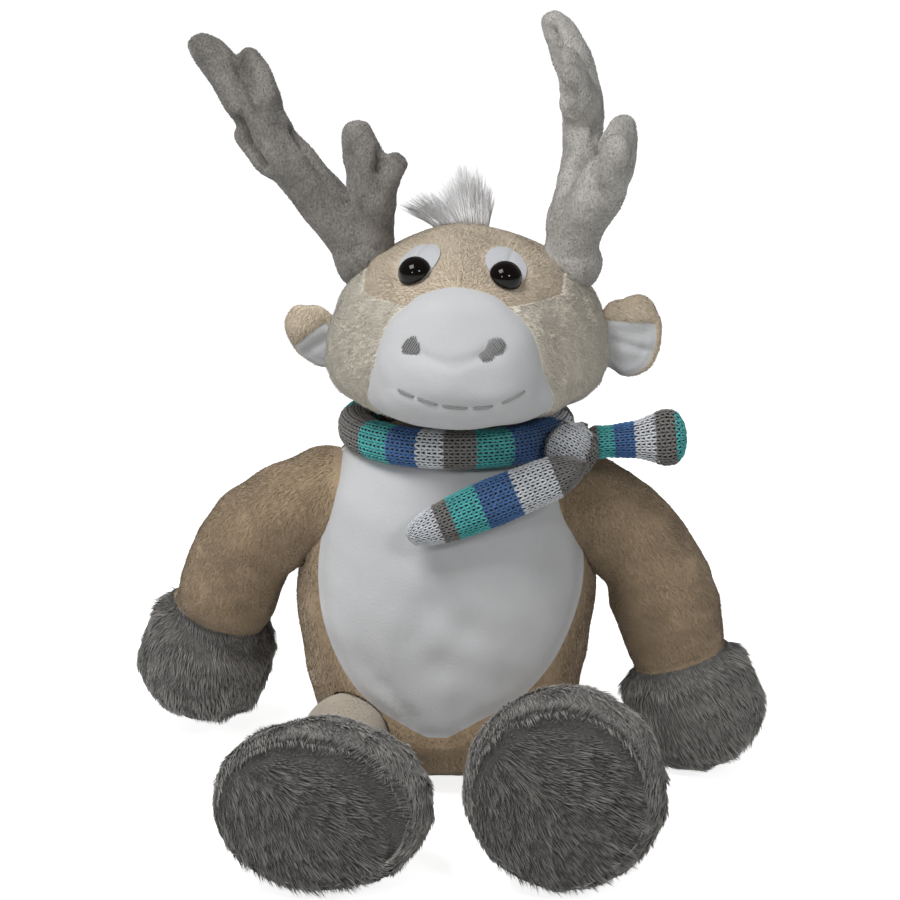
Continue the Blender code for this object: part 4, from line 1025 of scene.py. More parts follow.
BODY_COAT = Coat("beige_pile", 0.0019, 0.00032, 1.5, lean=2.1, swirl=1.0, swirl_size=0.012)
SLEEVE_COAT = Coat("beige_pile", 0.002, 0.00025, 2.5, lean=2.1, swirl=1.2, swirl_size=0.009, clumps=0.25)
CROWN_COAT = Coat("crown_pile", 0.0015, 0.00022, 3.6, lean=1.9, swirl=1.0, swirl_size=0.01, clumps=0.2)
CREAM_COAT = Coat(
    "cream_pile", 0.0025, 0.00026, 4.2, lean=1.5, swirl=1.0, swirl_size=0.0045, wildness=0.12, clumps=0.45
)
FOOT_COAT = Coat(
    "grey_pile", 0.0049, 0.0007, 1.1, lean=3.0, bend=0.2, swirl=1.9, swirl_size=0.007, segments=2, clumps=0.65
)
SOLE_COAT = Coat(
    "sole_pile", 0.0045, 0.00056, 1.6, lean=1.7, bend=0.3, swirl=2.4, swirl_size=0.0045, wildness=0.3, segments=2,
    clumps=0.85,
)
HOOF_COAT = Coat(
    "grey_pile", 0.0052, 0.0007, 1.1, lean=2.9, bend=0.2, swirl=2.1, swirl_size=0.008, segments=2, clumps=0.65
)
EAR_COAT = Coat("crown_pile", 0.0015, 0.00022, 3.0, lean=1.9, swirl=0.6, swirl_size=0.008)
HAIR_COAT = Coat(
    "white_pile", 0.0295, 0.0006, 13.0, bend=0.1, swirl=0.3, swirl_size=0.005, wildness=0.1, segments=5, shortest=0.5,
    clumps=0.15,
)
NAP_COAT = Coat("left_nap", 0.0008, 0.0003, 1.1, lean=1.3, swirl=1.0, swirl_size=0.009)


@dataclass
class Workroom:
    """Makes pieces: keeps the finishes and the growing trees, and joins each piece to the frame."""

    finishes: dict[str, bpy.types.Material] = field(default_factory=lambda: {k: v.make() for k, v in FINISHES.items()})
    pile: Growth = field(default_factory=pile_growth)
    knit: Growth = field(default_factory=knit_growth)
    thread: Growth = field(default_factory=thread_growth)
    seed: int = 11

    def fit(
        self, made: bpy.types.Object, body: str, stands_for: Sequence[str] = ()
    ) -> bpy.types.Object:
        """Joins a finished piece to the frame.

        Args:
            made: The piece, in place.
            body: The body that it rides on.
            stands_for: The frame's nodes that it replaces.

        Returns:
            The piece.
        """
        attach(made, body)
        if stands_for:
            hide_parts(*stands_for)
        LOG.info("%s: %d faces on %s", made.name, len(made.data.polygons), body)
        return made

    def cover(
        self, skin: Skin, name: str, finish: str, body: str, slot: Slot, stands_for: Sequence[str] = (),
        fill: float | None = None,
    ) -> bpy.types.Object:
        """A cover of cloth as a closed shell, its thickness inwards.

        Args:
            skin: The surface.
            name: The piece's name.
            finish: The name of its finish.
            body: The body that it rides on.
            slot: The record's material slot. It is not used.
            stands_for: The frame's nodes that it replaces.
            fill: How tightly it is stuffed, where it is. It is not used.

        Returns:
            The piece.
        """
        made = skin.build(name, self.finishes[finish])
        runs = np.zeros(len(made.data.loops), np.int32)
        made.data.loops.foreach_get("edge_index", runs)
        rim = np.bincount(runs, minlength=len(made.data.edges)) == 1
        made.data.attributes.new("sharp_edge", "BOOLEAN", "EDGE").data.foreach_set("value", rim)
        wall = made.modifiers.new("wall", "SOLIDIFY")
        wall.thickness = CLOTH
        wall.offset = -1
        return self.fit(made, body, stands_for)

    def solid(
        self, skin: Skin, name: str, finish: str, body: str, stands_for: Sequence[str] = (),
    ) -> bpy.types.Object:
        """A closed piece."""
        return self.fit(skin.build(name, self.finishes[finish]), body, stands_for)

    def coat(
        self, skin: Skin, name: str, coat: Coat, body: str, slot: Slot, comb: Points, grow: Points | float = 1.0,
        cover: Points | float = 1.0, stands_for: Sequence[str] = (),
    ) -> bpy.types.Object:
        """The pile of a cover.

        Args:
            skin: The cover's outer surface.
            name: The pile's name.
            coat: Its strands.
            body: The body that it rides on.
            slot: The record's material slot. It is not used.
            comb: The way that it is combed, at each point of the surface or for all of it.
            grow: The share of the strand's length at each point.
            cover: The share of the density at each point.
            stands_for: The frame's nodes that it replaces.

        Returns:
            The piece.
        """
        normals = skin.normals()
        way = np.broadcast_to(np.asarray(comb, float), normals.shape)
        strength = np.linalg.norm(way, axis=1, keepdims=True)
        way = unit(way - normals * (way * normals).sum(1, keepdims=True)) * strength
        source = skin.build(name + "_source")
        count = len(skin.points)
        mark(source.data, "comb", way)
        mark(source.data, "grow", np.broadcast_to(grow, count))
        mark(source.data, "cover", np.broadcast_to(cover, count))
        self.seed += 1
        values = {key.replace("_", " ").title(): value for key, value in vars(coat).items() if key != "finish"}
        values |= {"Density": coat.density * 1e6, "Seed": self.seed}
        return self.fit(self.pile.grow(source, name, self.finishes[coat.finish], values), body, stands_for)

    def lay(
        self, growth: Growth, name: str, finish: str, body: str, laid: dict[str, Points],
        stands_for: Sequence[str] = (),
    ) -> bpy.types.Object:
        """Stitches laid at points.

        Args:
            growth: The tree.
            name: The piece's name.
            finish: Its finish.
            body: The body that it rides on.
            laid: Arrays of place, way, face, size and tone, one row for each stitch.
            stands_for: The frame's nodes that it replaces.

        Returns:
            The piece.
        """
        source = Skin(laid["place"], []).build(name + "_source")
        for key in ("way", "face", "size", "tone"):
            mark(source.data, key, laid[key])
        return self.fit(growth.grow(source, name, self.finishes[finish], {}), body, stands_for)


# The deer


@dataclass
class Torso:
    """The seated body: a back cover, a belly panel, a seat gusset and what fills them."""

    width: float = 0.1126
    depth: float = 0.095
    height: float = 0.1305
    seat_radius: float = 0.023
    # Shares of the height, the width and the depth
    shares: tuple[Row, ...] = (
        (0.0, 0.51, 0.54), (0.015, 0.59, 0.64), (0.054, 0.7, 0.775), (0.123, 0.8, 0.88), (0.23, 0.885, 0.957),
        (0.345, 0.941, 0.989), (0.46, 0.989, 1.0), (0.575, 1.0, 0.979), (0.69, 0.959, 0.926), (0.797, 0.888, 0.863),
        (0.889, 0.808, 0.789), (0.966, 0.693, 0.684), (1.0, 0.6, 0.59),
    )
    # Share of the height, and both edges of the belly panel as shares of the half-width
    belly: tuple[Row, ...] = (
        (0.205, -0.14, 0.02), (0.24, -0.31, 0.16), (0.31, -0.56, 0.49), (0.4, -0.72, 0.7), (0.5, -0.81, 0.83),
        (0.6, -0.85, 0.9), (0.74, -0.83, 0.89), (0.88, -0.76, 0.81), (1.1, -0.66, 0.72),
    )
    # Across and up, along the crease low on the left
    dart: tuple[Row, ...] = ((-0.0235, 0.047), (-0.0185, 0.0405), (-0.013, 0.0345))
    # Across, up, depth and width of each dimple
    dimples: tuple[Row, ...] = (
        (-0.005, 0.078, 0.002, 0.008), (0.006, 0.068, 0.0016, 0.007), (-0.012, 0.066, 0.0014, 0.006),
        (-0.003, 0.056, 0.0017, 0.007),
    )
    shoulder_share: float = 0.812
    shoulder_hole: float = 0.0183
    shoulder_half: float = 0.0528
    hip: Row = (0.037, 0.0138, 0.0225)
    hip_hole: float = 0.018

    def form(self, inset: float, step: float = 0.0024, sides: int = 120) -> Skin:
        """The whole form, drawn in by the inset and flat where it sits.

        Args:
            inset: How far it is drawn in.
            step: The distance between the rings.
            sides: How many points to a ring.

        Returns:
            The closed surface.
        """
        rows = [pole((0, 0, inset), sides)]
        for up, wide, deep in self.shares:
            z = inset + up * (self.height - 2 * inset)
            rows.append(
                oval((0, 0, z), (wide * self.width / 2 - inset, 0, 0), (0, deep * self.depth / 2 - inset, 0), sides)
            )
        rows.append(pole((0, 0, self.height - inset), sides))
        made = Skin.over(smooth(rows, step))
        made.points[:, 2] = np.maximum(made.points[:, 2], inset + 0.0003)
        return made

    def outline(self) -> Points:
        """The belly's seam in the front view."""
        left = [(row[1] * self.width / 2, row[0] * self.height) for row in self.belly]
        right = [(row[2] * self.width / 2, row[0] * self.height) for row in reversed(self.belly)]
        ring = smooth([np.array([p]) for p in left + right], 0.003)
        return ring[:, 0, :]

    def belly_side(self, points: Points) -> Points:
        """Below zero on the belly panel."""
        flat = inside_outline(points[:, [0, 2]], self.outline())
        return np.where(points[:, 1] < 0, flat, 0.05)

    def tuck(self, points: Points) -> Points:
        """How far the lower front is drawn up between the feet.

        Args:
            points: Points, one row each.

        Returns:
            A distance for each point.
        """
        x, y, z = points.T
        wide = np.clip(1.4 - np.abs(x) / 0.03, 0, 1) * np.clip(1 - z / 0.024, 0, 1)
        return 0.006 * np.clip((-y - 0.014) / 0.012, 0, 1) * wide

    def in_hole(self, points: Points) -> Points:
        """Below zero where a sleeve or a leg goes in.

        Args:
            points: Points, one row each.

        Returns:
            A value for each point.
        """
        side = np.abs(points[:, 0])
        round_shoulder = np.hypot(points[:, 1], points[:, 2] - self.shoulder_share * self.height)
        hole = np.where(side > 0.025, round_shoulder - self.shoulder_hole, 0.05)
        out, inset, up = self.hip
        from_hip = np.stack([side - out, points[:, 1] - inset + self.depth / 2, points[:, 2] - up], 1)
        return np.minimum(hole, np.linalg.norm(from_hip, axis=1) - self.hip_hole)

    def sewn(self) -> Skin:
        """The whole form with its seams, dimples and creases."""
        form = self.form(0.0)
        points = form.points
        rise = np.where(points[:, 2] > 0.012, 1, points[:, 2] / 0.012)
        amount = -0.0013 * dip(self.belly_side(points), 0.0026) * rise
        amount -= np.where(points[:, 1] > 0, 0.0009 * dip(points[:, 0], 0.002), 0) * rise
        amount += 0.0007 * ripple(points, 0.045, 3) * rise + 0.0003 * ripple(points, 0.018, 4) * rise
        front = points[:, 1] < 0
        amount -= np.where(front, 0.0016 * dip(line_distance(points[:, [0, 2]], self.dart), 0.0022), 0)
        for x, z, deep, wide in self.dimples:
            amount -= np.where(front, deep * dip(np.hypot(points[:, 0] - x, points[:, 2] - z), wide), 0)
        form = form.pushed(amount)
        x, y, z = form.points.T
        shoulder = np.hypot(y, z - self.shoulder_share * self.height)
        flat = self.shoulder_half + 0.01 * np.clip((shoulder - 0.0245) / 0.005, 0, 1)
        form.points[:, 0] = np.sign(x) * np.minimum(np.abs(x), flat)
        form.points[:, 1] += 0.0012 * dip(x - 0.004, 0.0016) * np.clip((0.05 - z) / 0.01, 0, 1) * (y < 0)
        form.points[:, 2] = np.maximum(z, 0.0003)
        form.points[:, 2] += self.tuck(form.points)
        return form

    def build(self, room: Workroom) -> None:
        """Makes the torso's pieces.

        Args:
            room: Makes and joins the pieces.
        """
        _, form = self.sewn().cut(self.in_hole)
        belly, rest = form.cut(self.belly_side)
        seat_panel, back = rest.cut(
            lambda p: np.where(p[:, 2] < 0.004, np.hypot(p[:, 0], p[:, 1]) - self.seat_radius, 0.05)
        )
        room.cover(belly, "belly_cover", "white_velour", "torso", Slot.WHITE, ("belly_panel",), 0.8)
        room.cover(back, "torso_cover", "beige_plush", "torso", Slot.BEIGE, ("torso_back",), 0.8)
        room.cover(seat_panel, "seat_gusset", "beige_plush", "torso", Slot.BEIGE, ("seat_panel",), 0.6)
        p = back.points
        cover = np.clip((p[:, 2] - 0.004) / 0.004, 0, 1) * np.where(p[:, 2] > 0.128, 0.2, 1.0)
        room.coat(back, "torso_pile", BODY_COAT, "torso", Slot.BEIGE, (0, 0, -1), cover=cover)


HEAD_PLACE = moving(0.0035, 0, 0.148) @ turning("Z", -4)


@dataclass
class Head:
    """The head: six covers round their filling, with eyes, nose, mouth and hair."""

    width: float = 0.1025
    length: float = 0.1135
    height: float = 0.067
    drop: float = 0.0025
    lean: float = 0.004
    underside: float = 3.1
    muzzle_seam: float = -0.434
    back_seam: float = 0.16
    crown_half: float = 0.036
    crown_nose_half: float = 0.024
    crown_share: float = 0.68
    # Share of the length, half-width, and the top, middle and bottom as shares of the height
    shares: tuple[Row, ...] = (
        (-0.599, 0.0, 0.343, 0.343, 0.343), (-0.586, 0.229, 0.478, 0.336, 0.216), (-0.555, 0.40, 0.575, 0.328, 0.119),
        (-0.502, 0.52, 0.69, 0.321, 0.04), (-0.4405, 0.585, 0.785, 0.313, 0.01), (-0.388, 0.667, 0.84, 0.306, 0.0),
        (-0.317, 0.80, 0.885, 0.299, 0.0), (-0.211, 0.933, 0.93, 0.291, 0.0), (-0.0705, 1.0, 0.957, 0.291, 0.0),
        (0.0705, 0.99, 0.95, 0.299, 0.0075), (0.194, 0.886, 0.885, 0.336, 0.045), (0.2996, 0.686, 0.784, 0.366, 0.112),
        (0.37, 0.419, 0.634, 0.396, 0.216), (0.401, 0.0, 0.425, 0.425, 0.425),
    )
    # From -1 to 1 along the mouth, and the share of the height there
    mouth: tuple[Row, ...] = ((-1.0, 0.27), (-0.62, 0.225), (-0.2, 0.19), (0.2, 0.182), (0.62, 0.208), (1.0, 0.262))
    mouth_width: float = 0.0455
    mouth_shift: float = 0.0018
    eye_spacing: float = 0.032
    eye_share: float = -0.345
    eye_drops: tuple[float, float] = (0.0, 0.0016)
    nostril_share: float = 0.49
    nose_shift: float = -0.0015
    nose_half: float = 0.01425
    antler_place: Row = (0.037, 0.02)
    plain: BVHTree = field(init=False)

    def __post_init__(self) -> None:
        """Makes a search tree of the plain form."""
        self.plain = self.form(0.0).tree()

    def form(self, inset: float, step: float = 0.0022, sides: int = 120) -> Skin:
        """The whole form in the head's own space, drawn in by the inset.

        Args:
            inset: How far it is drawn in.
            step: The distance between the rings.
            sides: How many points to a ring.

        Returns:
            The closed surface.
        """
        turn = np.arange(sides) * math.tau / sides
        c, s = np.cos(turn), np.sin(turn)
        power = np.where(s >= 0, 1.0, 2 / self.underside)
        wide = np.sign(c) * np.abs(c) ** power
        rows = []
        for share, half, top, middle, low in self.shares:
            along = share * (self.length - 2 * inset)
            z = middle * self.height - self.drop
            if half == 0:
                rows.append(pole((self.lean, along, z), sides))
                continue
            rise = top * self.height - inset - self.drop - z
            fall = low * self.height + inset - self.drop - z
            x = self.lean + wide * (half * self.width / 2 - inset)
            high = z + np.abs(s) ** power * np.where(s >= 0, rise, fall)
            rows.append(np.stack([x, np.full(sides, along), high], 1))
        return Skin.over(smooth(rows, step))

    def mouth_line(self) -> Points:
        """The mouth in the front view, from left to right."""
        rows = [
            (self.lean + self.mouth_shift + s * self.mouth_width / 2, z * self.height - self.drop)
            for s, z in self.mouth
        ]
        return smooth([np.array([row]) for row in rows], 0.0015)[:, 0, :]

    def below_mouth(self, points: Points) -> Points:
        """Below zero under the mouth's line."""
        line = self.mouth_line()
        return points[:, 2] - np.interp(points[:, 0], line[:, 0], line[:, 1])

    def off_crown(self, points: Points) -> Points:
        """Below zero on the crown panel.

        Args:
            points: Points, one row each.

        Returns:
            A value for each point.
        """
        seam = self.muzzle_seam * self.length
        share = np.clip((points[:, 1] - seam + 0.002) / 0.016, 0, 1)
        share = share * share * (3 - 2 * share)
        half = self.crown_nose_half + (self.crown_half - self.crown_nose_half) * share
        side = np.abs(points[:, 0] - self.lean) - half
        return np.maximum(side, self.crown_share * self.height - self.drop - points[:, 2])

    def behind_muzzle(self, points: Points) -> Points:
        """Below zero on the muzzle and chin, whose seam leans back under the chin."""
        return points[:, 1] - self.muzzle_seam * self.length - 0.55 * np.clip(0.021 - points[:, 2], 0, 0.02)

    def sewn(self) -> Skin:
        """The whole form with its seams, lips, dips for the eyes and the nose's crease."""
        form = self.form(0.0)
        p = form.points
        seam, back = self.muzzle_seam * self.length, self.back_seam * self.length
        middle = (self.behind_muzzle(p) > 0) & (p[:, 1] < back)
        amount = -0.0008 * dip(self.behind_muzzle(p), 0.0018)
        amount -= 0.0007 * dip(p[:, 1] - back, 0.002)
        amount -= np.where(middle, 0.0008 * dip(self.off_crown(p), 0.0018), 0)
        lips = np.clip(1.25 - np.abs(p[:, 0] - self.lean - self.mouth_shift) / self.mouth_width * 2, 0, 1) ** 0.5
        amount -= np.where(p[:, 1] < seam + 0.001, 0.0007 * dip(self.below_mouth(p), 0.0017), 0) * lips
        amount += 0.0005 * ripple(p, 0.04, 21) + 0.00025 * ripple(p, 0.014, 22)
        for side in Side:
            eye = self.on_top(self.eye_x(side), self.eye_share * self.length)
            amount -= 0.0012 * dip(np.linalg.norm(p - eye[0], axis=1), 0.0085)
            x, z = self.nostril(side)
            near = np.hypot(p[:, 0] - x, p[:, 2] - z)
            amount -= np.where(p[:, 1] < seam, 0.001 * dip(near, 0.0042), 0)
        nose = [self.nostril(side) for side in Side]
        nose.insert(1, (self.lean + self.nose_shift, nose[0][1] - 0.0042))
        line = smooth([np.array([row]) for row in nose], 0.002)[:, 0, :]
        amount -= np.where(p[:, 1] < seam, 0.0011 * dip(line_distance(p[:, [0, 2]], line), 0.0018), 0)
        return form.pushed(amount)

    def shown(self, points: Points) -> Points:
        """The share of the pile at each point: none under the eyes, the satin and the antlers.

        Args:
            points: Points, one row each.

        Returns:
            The shares.
        """
        share = np.ones(len(points))
        for side in Side:
            for x, y, radius in (
                (self.eye_x(side), self.eye_share * self.length, 0.0056),
                (self.eye_x(side), self.eye_share * self.length + 0.0082, 0.0088),
                (self.lean + side.value * self.antler_place[0], self.antler_place[1] * self.length, 0.0105),
            ):
                place = self.on_top(x, y)[0]
                share *= np.clip((np.linalg.norm(points - place, axis=1) - radius) / 0.001, 0, 1)
        return share

    def build(self, room: Workroom) -> BVHTree:
        """Makes the covers and their pile.

        Args:
            room: Makes and joins the pieces.

        Returns:
            A search tree of the head's surface, in the head's own space.
        """
        form = self.sewn()
        front, rest = form.cut(self.behind_muzzle)
        chin, muzzle = front.cut(self.below_mouth)
        body, rear = rest.cut(lambda q: q[:, 1] - self.back_seam * self.length)
        crown, lower = body.cut(self.off_crown)
        left, right = lower.cut(lambda q: q[:, 0] - self.lean)
        parts = (
            (muzzle, "muzzle_cover", "white_velour", Slot.WHITE, "muzzle_panel"),
            (chin, "chin_cover", "white_velour", Slot.WHITE, "chin_panel"),
            (crown, "crown_cover", "crown_plush", Slot.BEIGE, "crown_panel"),
            (left, "cheek_left_cover", "cream_plush", Slot.CREAM, "cheek_left"),
            (right, "cheek_right_cover", "cream_plush", Slot.CREAM, "cheek_right"),
            (rear, "head_back_cover", "crown_plush", Slot.BEIGE, "head_back"),
        )
        for part, name, finish, slot, node in parts:
            room.cover(part.placed(HEAD_PLACE), name, finish, "head", slot, (node,), 0.85)
        for part, name, coat, slot in (
            (crown, "crown_pile", CROWN_COAT, Slot.BEIGE),
            (left, "cheek_left_pile", CREAM_COAT, Slot.CREAM),
            (right, "cheek_right_pile", CREAM_COAT, Slot.CREAM),
            (rear, "head_back_pile", replace(CROWN_COAT, density=1.6, width=0.00042), Slot.BEIGE),
        ):
            q = part.points
            comb = q - np.array([self.lean, -0.06, 0.03]) + np.array([0, 0, -0.02])
            room.coat(
                part.placed(HEAD_PLACE), name, coat, "head", slot, unit(comb) @ HEAD_PLACE[:3, :3].T,
                cover=self.shown(q),
            )
        return form.tree()

    def eye_x(self, side: Side) -> float:
        """Where an eye is across the head."""
        return self.lean + side.value * self.eye_spacing / 2

    def nostril(self, side: Side) -> tuple[float, float]:
        """Where a nostril is in the front view."""
        x = self.lean + self.nose_shift + side.value * self.nose_half
        return x, self.nostril_share * self.height - self.drop

    def on_top(self, x: float, y: float) -> tuple[Points, Points]:
        """The place and direction of the head's plain form above a point."""
        place, normal, _, _ = self.plain.ray_cast(Vector((x, y, 0.2)), Vector((0, 0, -1)))
        return np.array(place), np.array(normal)

    def eye_frame(self, side: Side) -> Points:
        """The frame of an eye on the head's skin: Z looks out of the head.

        Args:
            side: Left or right.

        Returns:
            The frame.
        """
        place, z = self.on_top(self.eye_x(side), self.eye_share * self.length - self.eye_drops[side is Side.RIGHT])
        y = unit(np.array([0, z[2], -z[1]]))
        made = np.eye(4)
        made[:3, 0], made[:3, 1], made[:3, 2], made[:3, 3] = np.cross(y, z), y, z, place
        return made


def lathe(profile: Sequence[Row], sides: int) -> Skin:
    """A turned shape about Z from (radius, height) points. A radius of zero is a pole."""
    rows = [pole((0, 0, z), sides) if r == 0 else oval((0, 0, z), (r, 0, 0), (0, r, 0), sides) for r, z in profile]
    return Skin.over(np.stack(rows))


def dropped(tree: BVHTree, points: Points, way: Sequence[float]) -> tuple[Points, Points]:
    """Where lines from the points along a way first meet a surface, and its directions there.

    Args:
        tree: The surface's search tree.
        points: Points, one row each.
        way: The direction.

    Returns:
        The places and the directions.
    """
    places, normals = points.copy(), np.tile(-np.asarray(way, float), (len(points), 1))
    for i, point in enumerate(points):
        place, normal, _, _ = tree.ray_cast(Vector(point), Vector(way))
        if place is not None:
            places[i] = place
            normals[i] = normal if Vector(normal).dot(Vector(way)) < 0 else -normal
    return places, normals


@dataclass
class Face:
    """Eyes, the satin behind them, the nostrils and the mouth."""

    head: Head
    skin: BVHTree
    radius: float = 0.0061
    shank_radius: float = 0.0016
    shank_length: float = 0.0085
    base: float = 0.0003
    patch_half_width: float = 0.0077
    patch_shift: float = 0.0004
    patch_half_height: float = 0.0128
    patch_rise: float = 0.0088
    ahead: float = -0.12
    # Half-width, half-height and tilt of the left and the right nostril
    nostrils: tuple[Row, Row] = ((0.0029, 0.0023, -30.0), (0.005, 0.0018, 38.0))
    satin_thread: float = 0.00066
    # Where each of the mouth's stitches starts and ends, from -1 to 1 along it
    dashes: tuple[Row, ...] = ((-0.99, -0.72), (-0.68, -0.35), (-0.29, 0.12), (0.19, 0.51), (0.63, 1.0))

    def build(self, room: Workroom) -> None:
        """Makes the face's pieces."""
        for side in Side:
            self.eye(room, side)
            self.patch(room, side)
            self.nostril(room, side)
        self.mouth(room)

    def eye(self, room: Workroom, side: Side) -> None:
        """One eye on its shank.

        Args:
            room: Makes and joins the pieces.
            side: Left or right.
        """
        frame = HEAD_PLACE @ self.head.eye_frame(side)
        end = self.base - self.shank_length
        rim = [(self.radius * 0.95, self.base), (self.radius, self.base + 0.0004)]
        dome = [
            (self.radius * math.cos(a), self.base + 0.0004 + (self.radius - 0.0004) * math.sin(a))
            for a in np.linspace(0.08, 1.5, 18)
        ]
        profile = [
            (0, end), (self.shank_radius, end), (self.shank_radius, self.base), *rim, *dome,
            (0, self.base + self.radius),
        ]
        made = lathe(profile, 48).placed(frame)
        room.solid(made, f"glossy_eye_{side.word}", "eye_gloss", "head", (f"eye_{side.word}",))

    def patch(self, room: Workroom, side: Side) -> None:
        """The satin oval behind an eye, laid on the head and puffed up in its middle.

        Args:
            room: Makes and joins the pieces.
            side: Left or right.
        """
        steps, sides = 18, 64
        rows = [np.zeros((sides, 2))]
        turn = np.arange(sides) * math.tau / sides
        for share in np.linspace(0, 1, steps)[1:]:
            wide = 1 - 0.12 * np.clip(np.sin(turn), 0, 1) ** 2
            rows.append(
                np.stack(
                    [
                        share * self.patch_half_width * np.cos(turn) * wide,
                        share * self.patch_half_height * np.sin(turn),
                    ],
                    1,
                )
            )
        flat = np.stack(rows)
        spread = np.concatenate(
            [flat, np.full((*flat.shape[:2], 1), 0.02)], 2
        ).reshape(-1, 3) + (self.patch_shift, self.patch_rise, 0)
        eye = self.head.eye_frame(side)
        places, normals = dropped(self.skin, placed(spread, eye), -eye[:3, 2])
        share = np.repeat(np.linspace(0, 1, steps), sides)
        puff = 0.0006 + 0.0009 * (1 - share**2)
        crease = dip(spread[:, 0] - side.value * 0.001 - 0.18 * (spread[:, 1] - self.patch_rise), 0.001)
        puff -= 0.0005 * crease * np.clip((spread[:, 1] - 0.004) / 0.004, 0, 1)
        patch = Skin.over((places + normals * puff[:, None]).reshape(steps, sides, 3)).placed(HEAD_PLACE)
        made = room.cover(patch, f"satin_{side.word}", "white_satin", "head", Slot.SATIN, (f"eye_patch_{side.word}",))
        made.modifiers["wall"].thickness = 0.0005

    def laid_on_muzzle(self, flat: Points, lift: float) -> tuple[Points, Points]:
        """Places and directions on the muzzle for points of the front view.

        Args:
            flat: Points of the plane.
            lift: How far off the surface.

        Returns:
            The places and the directions, in the deer's space.
        """
        start = np.stack([flat[:, 0], np.full(len(flat), self.ahead), flat[:, 1]], 1)
        places, normals = dropped(self.skin, start, (0, 1, 0))
        places = places + normals * lift
        return placed(places, HEAD_PLACE), normals @ HEAD_PLACE[:3, :3].T

    def nostril(self, room: Workroom, side: Side) -> None:
        """One nostril of satin stitches, laid side by side across an oval.

        Args:
            room: Makes and joins the pieces.
            side: Left or right.
        """
        x, z = self.head.nostril(side)
        half_width, half_height, tilt = self.nostrils[side is Side.RIGHT]
        (centre,), (out,) = dropped(self.skin, np.array([[x, self.ahead, z]]), (0, 1, 0))
        right = unit(np.cross((0.0, 0.0, 1.0), out))
        high = np.cross(out, right)
        across = right * math.cos(math.radians(tilt)) + high * math.sin(math.radians(tilt))
        up = np.cross(out, across)
        count = round(2 * half_width / self.satin_thread)
        shares = np.linspace(-0.92, 0.92, count)
        half = (half_height * np.sqrt(1 - shares**2))[:, None] * up
        middle = centre + shares[:, None] * across * half_width + out * 0.01
        (places, faces), (top, _), (low, _) = (
            dropped(self.skin, middle + step, -out) for step in (half * 0, half, -half)
        )
        length = np.linalg.norm(top - low, axis=1) + 0.0005
        size = np.stack([np.full(count, self.satin_thread * 1.15), length, np.full(count, 0.0011)], 1)
        spin = HEAD_PLACE[:3, :3].T
        laid = {
            "place": placed(places + faces * 0.0005, HEAD_PLACE), "way": unit(top - low) @ spin, "face": faces @ spin
        }
        laid |= {"size": size, "tone": np.linspace(0.1, 0.9, count)}
        room.lay(
            room.thread, f"nostril_{side.word}_stitches", "grey_thread", "head", laid,
            (f"nostril_{side.word}",),
        )

    def mouth(self, room: Workroom) -> None:
        """The mouth's five long stitches, each of three threads, bent to the muzzle.

        Args:
            room: Makes and joins the pieces.
        """
        line = self.head.mouth_line()
        tracks = []
        for first, last in self.dashes:
            s = self.head.lean + self.head.mouth_shift + np.linspace(first, last, 12) * self.head.mouth_width / 2
            z = np.interp(s, line[:, 0], line[:, 1])
            for strand in (-1, 0, 1):
                shift = strand * 0.00026
                places, faces = self.laid_on_muzzle(np.stack([s, z + shift * np.ones(12)], 1), 0.0)
                arch = np.sqrt(np.clip(1 - np.linspace(-1, 1, 12) ** 4, 0, 1))
                lift = (0.0004 + (0.0003 if strand == 0 else 0.0)) * arch - 0.0004 * (1 - arch)
                tracks.append(tube(places + faces * lift[:, None], 0.00024, 8))
        made = tracks[0].joined(*tracks[1:])
        room.solid(made, "mouth_stitches", "grey_thread", "head", ("mouth_stitching",))


def tube(line: Points, radius: float | Points, sides: int) -> Skin:
    """A round tube along a line of points, closed at both ends.

    Args:
        line: The line's points.
        radius: The half-width, for all of it or at each point.
        sides: How many points to a ring.

    Returns:
        The closed tube.
    """
    ways = unit(np.gradient(line, axis=0))
    across = unit(np.cross(ways, (0.0, 0.0, 1.0) if abs(ways[0, 2]) < 0.9 else (0.0, 1.0, 0.0)))
    up = np.cross(across, ways)
    sizes = np.broadcast_to(radius, len(line))
    rows = [pole(line[0] - ways[0] * sizes[0] * 0.6, sides)]
    rows += [oval(p, a * r, u * r, sides) for p, a, u, r in zip(line, across, up, sizes)]
    rows.append(pole(line[-1] + ways[-1] * sizes[-1] * 0.6, sides))
    return Skin.over(np.stack(rows))


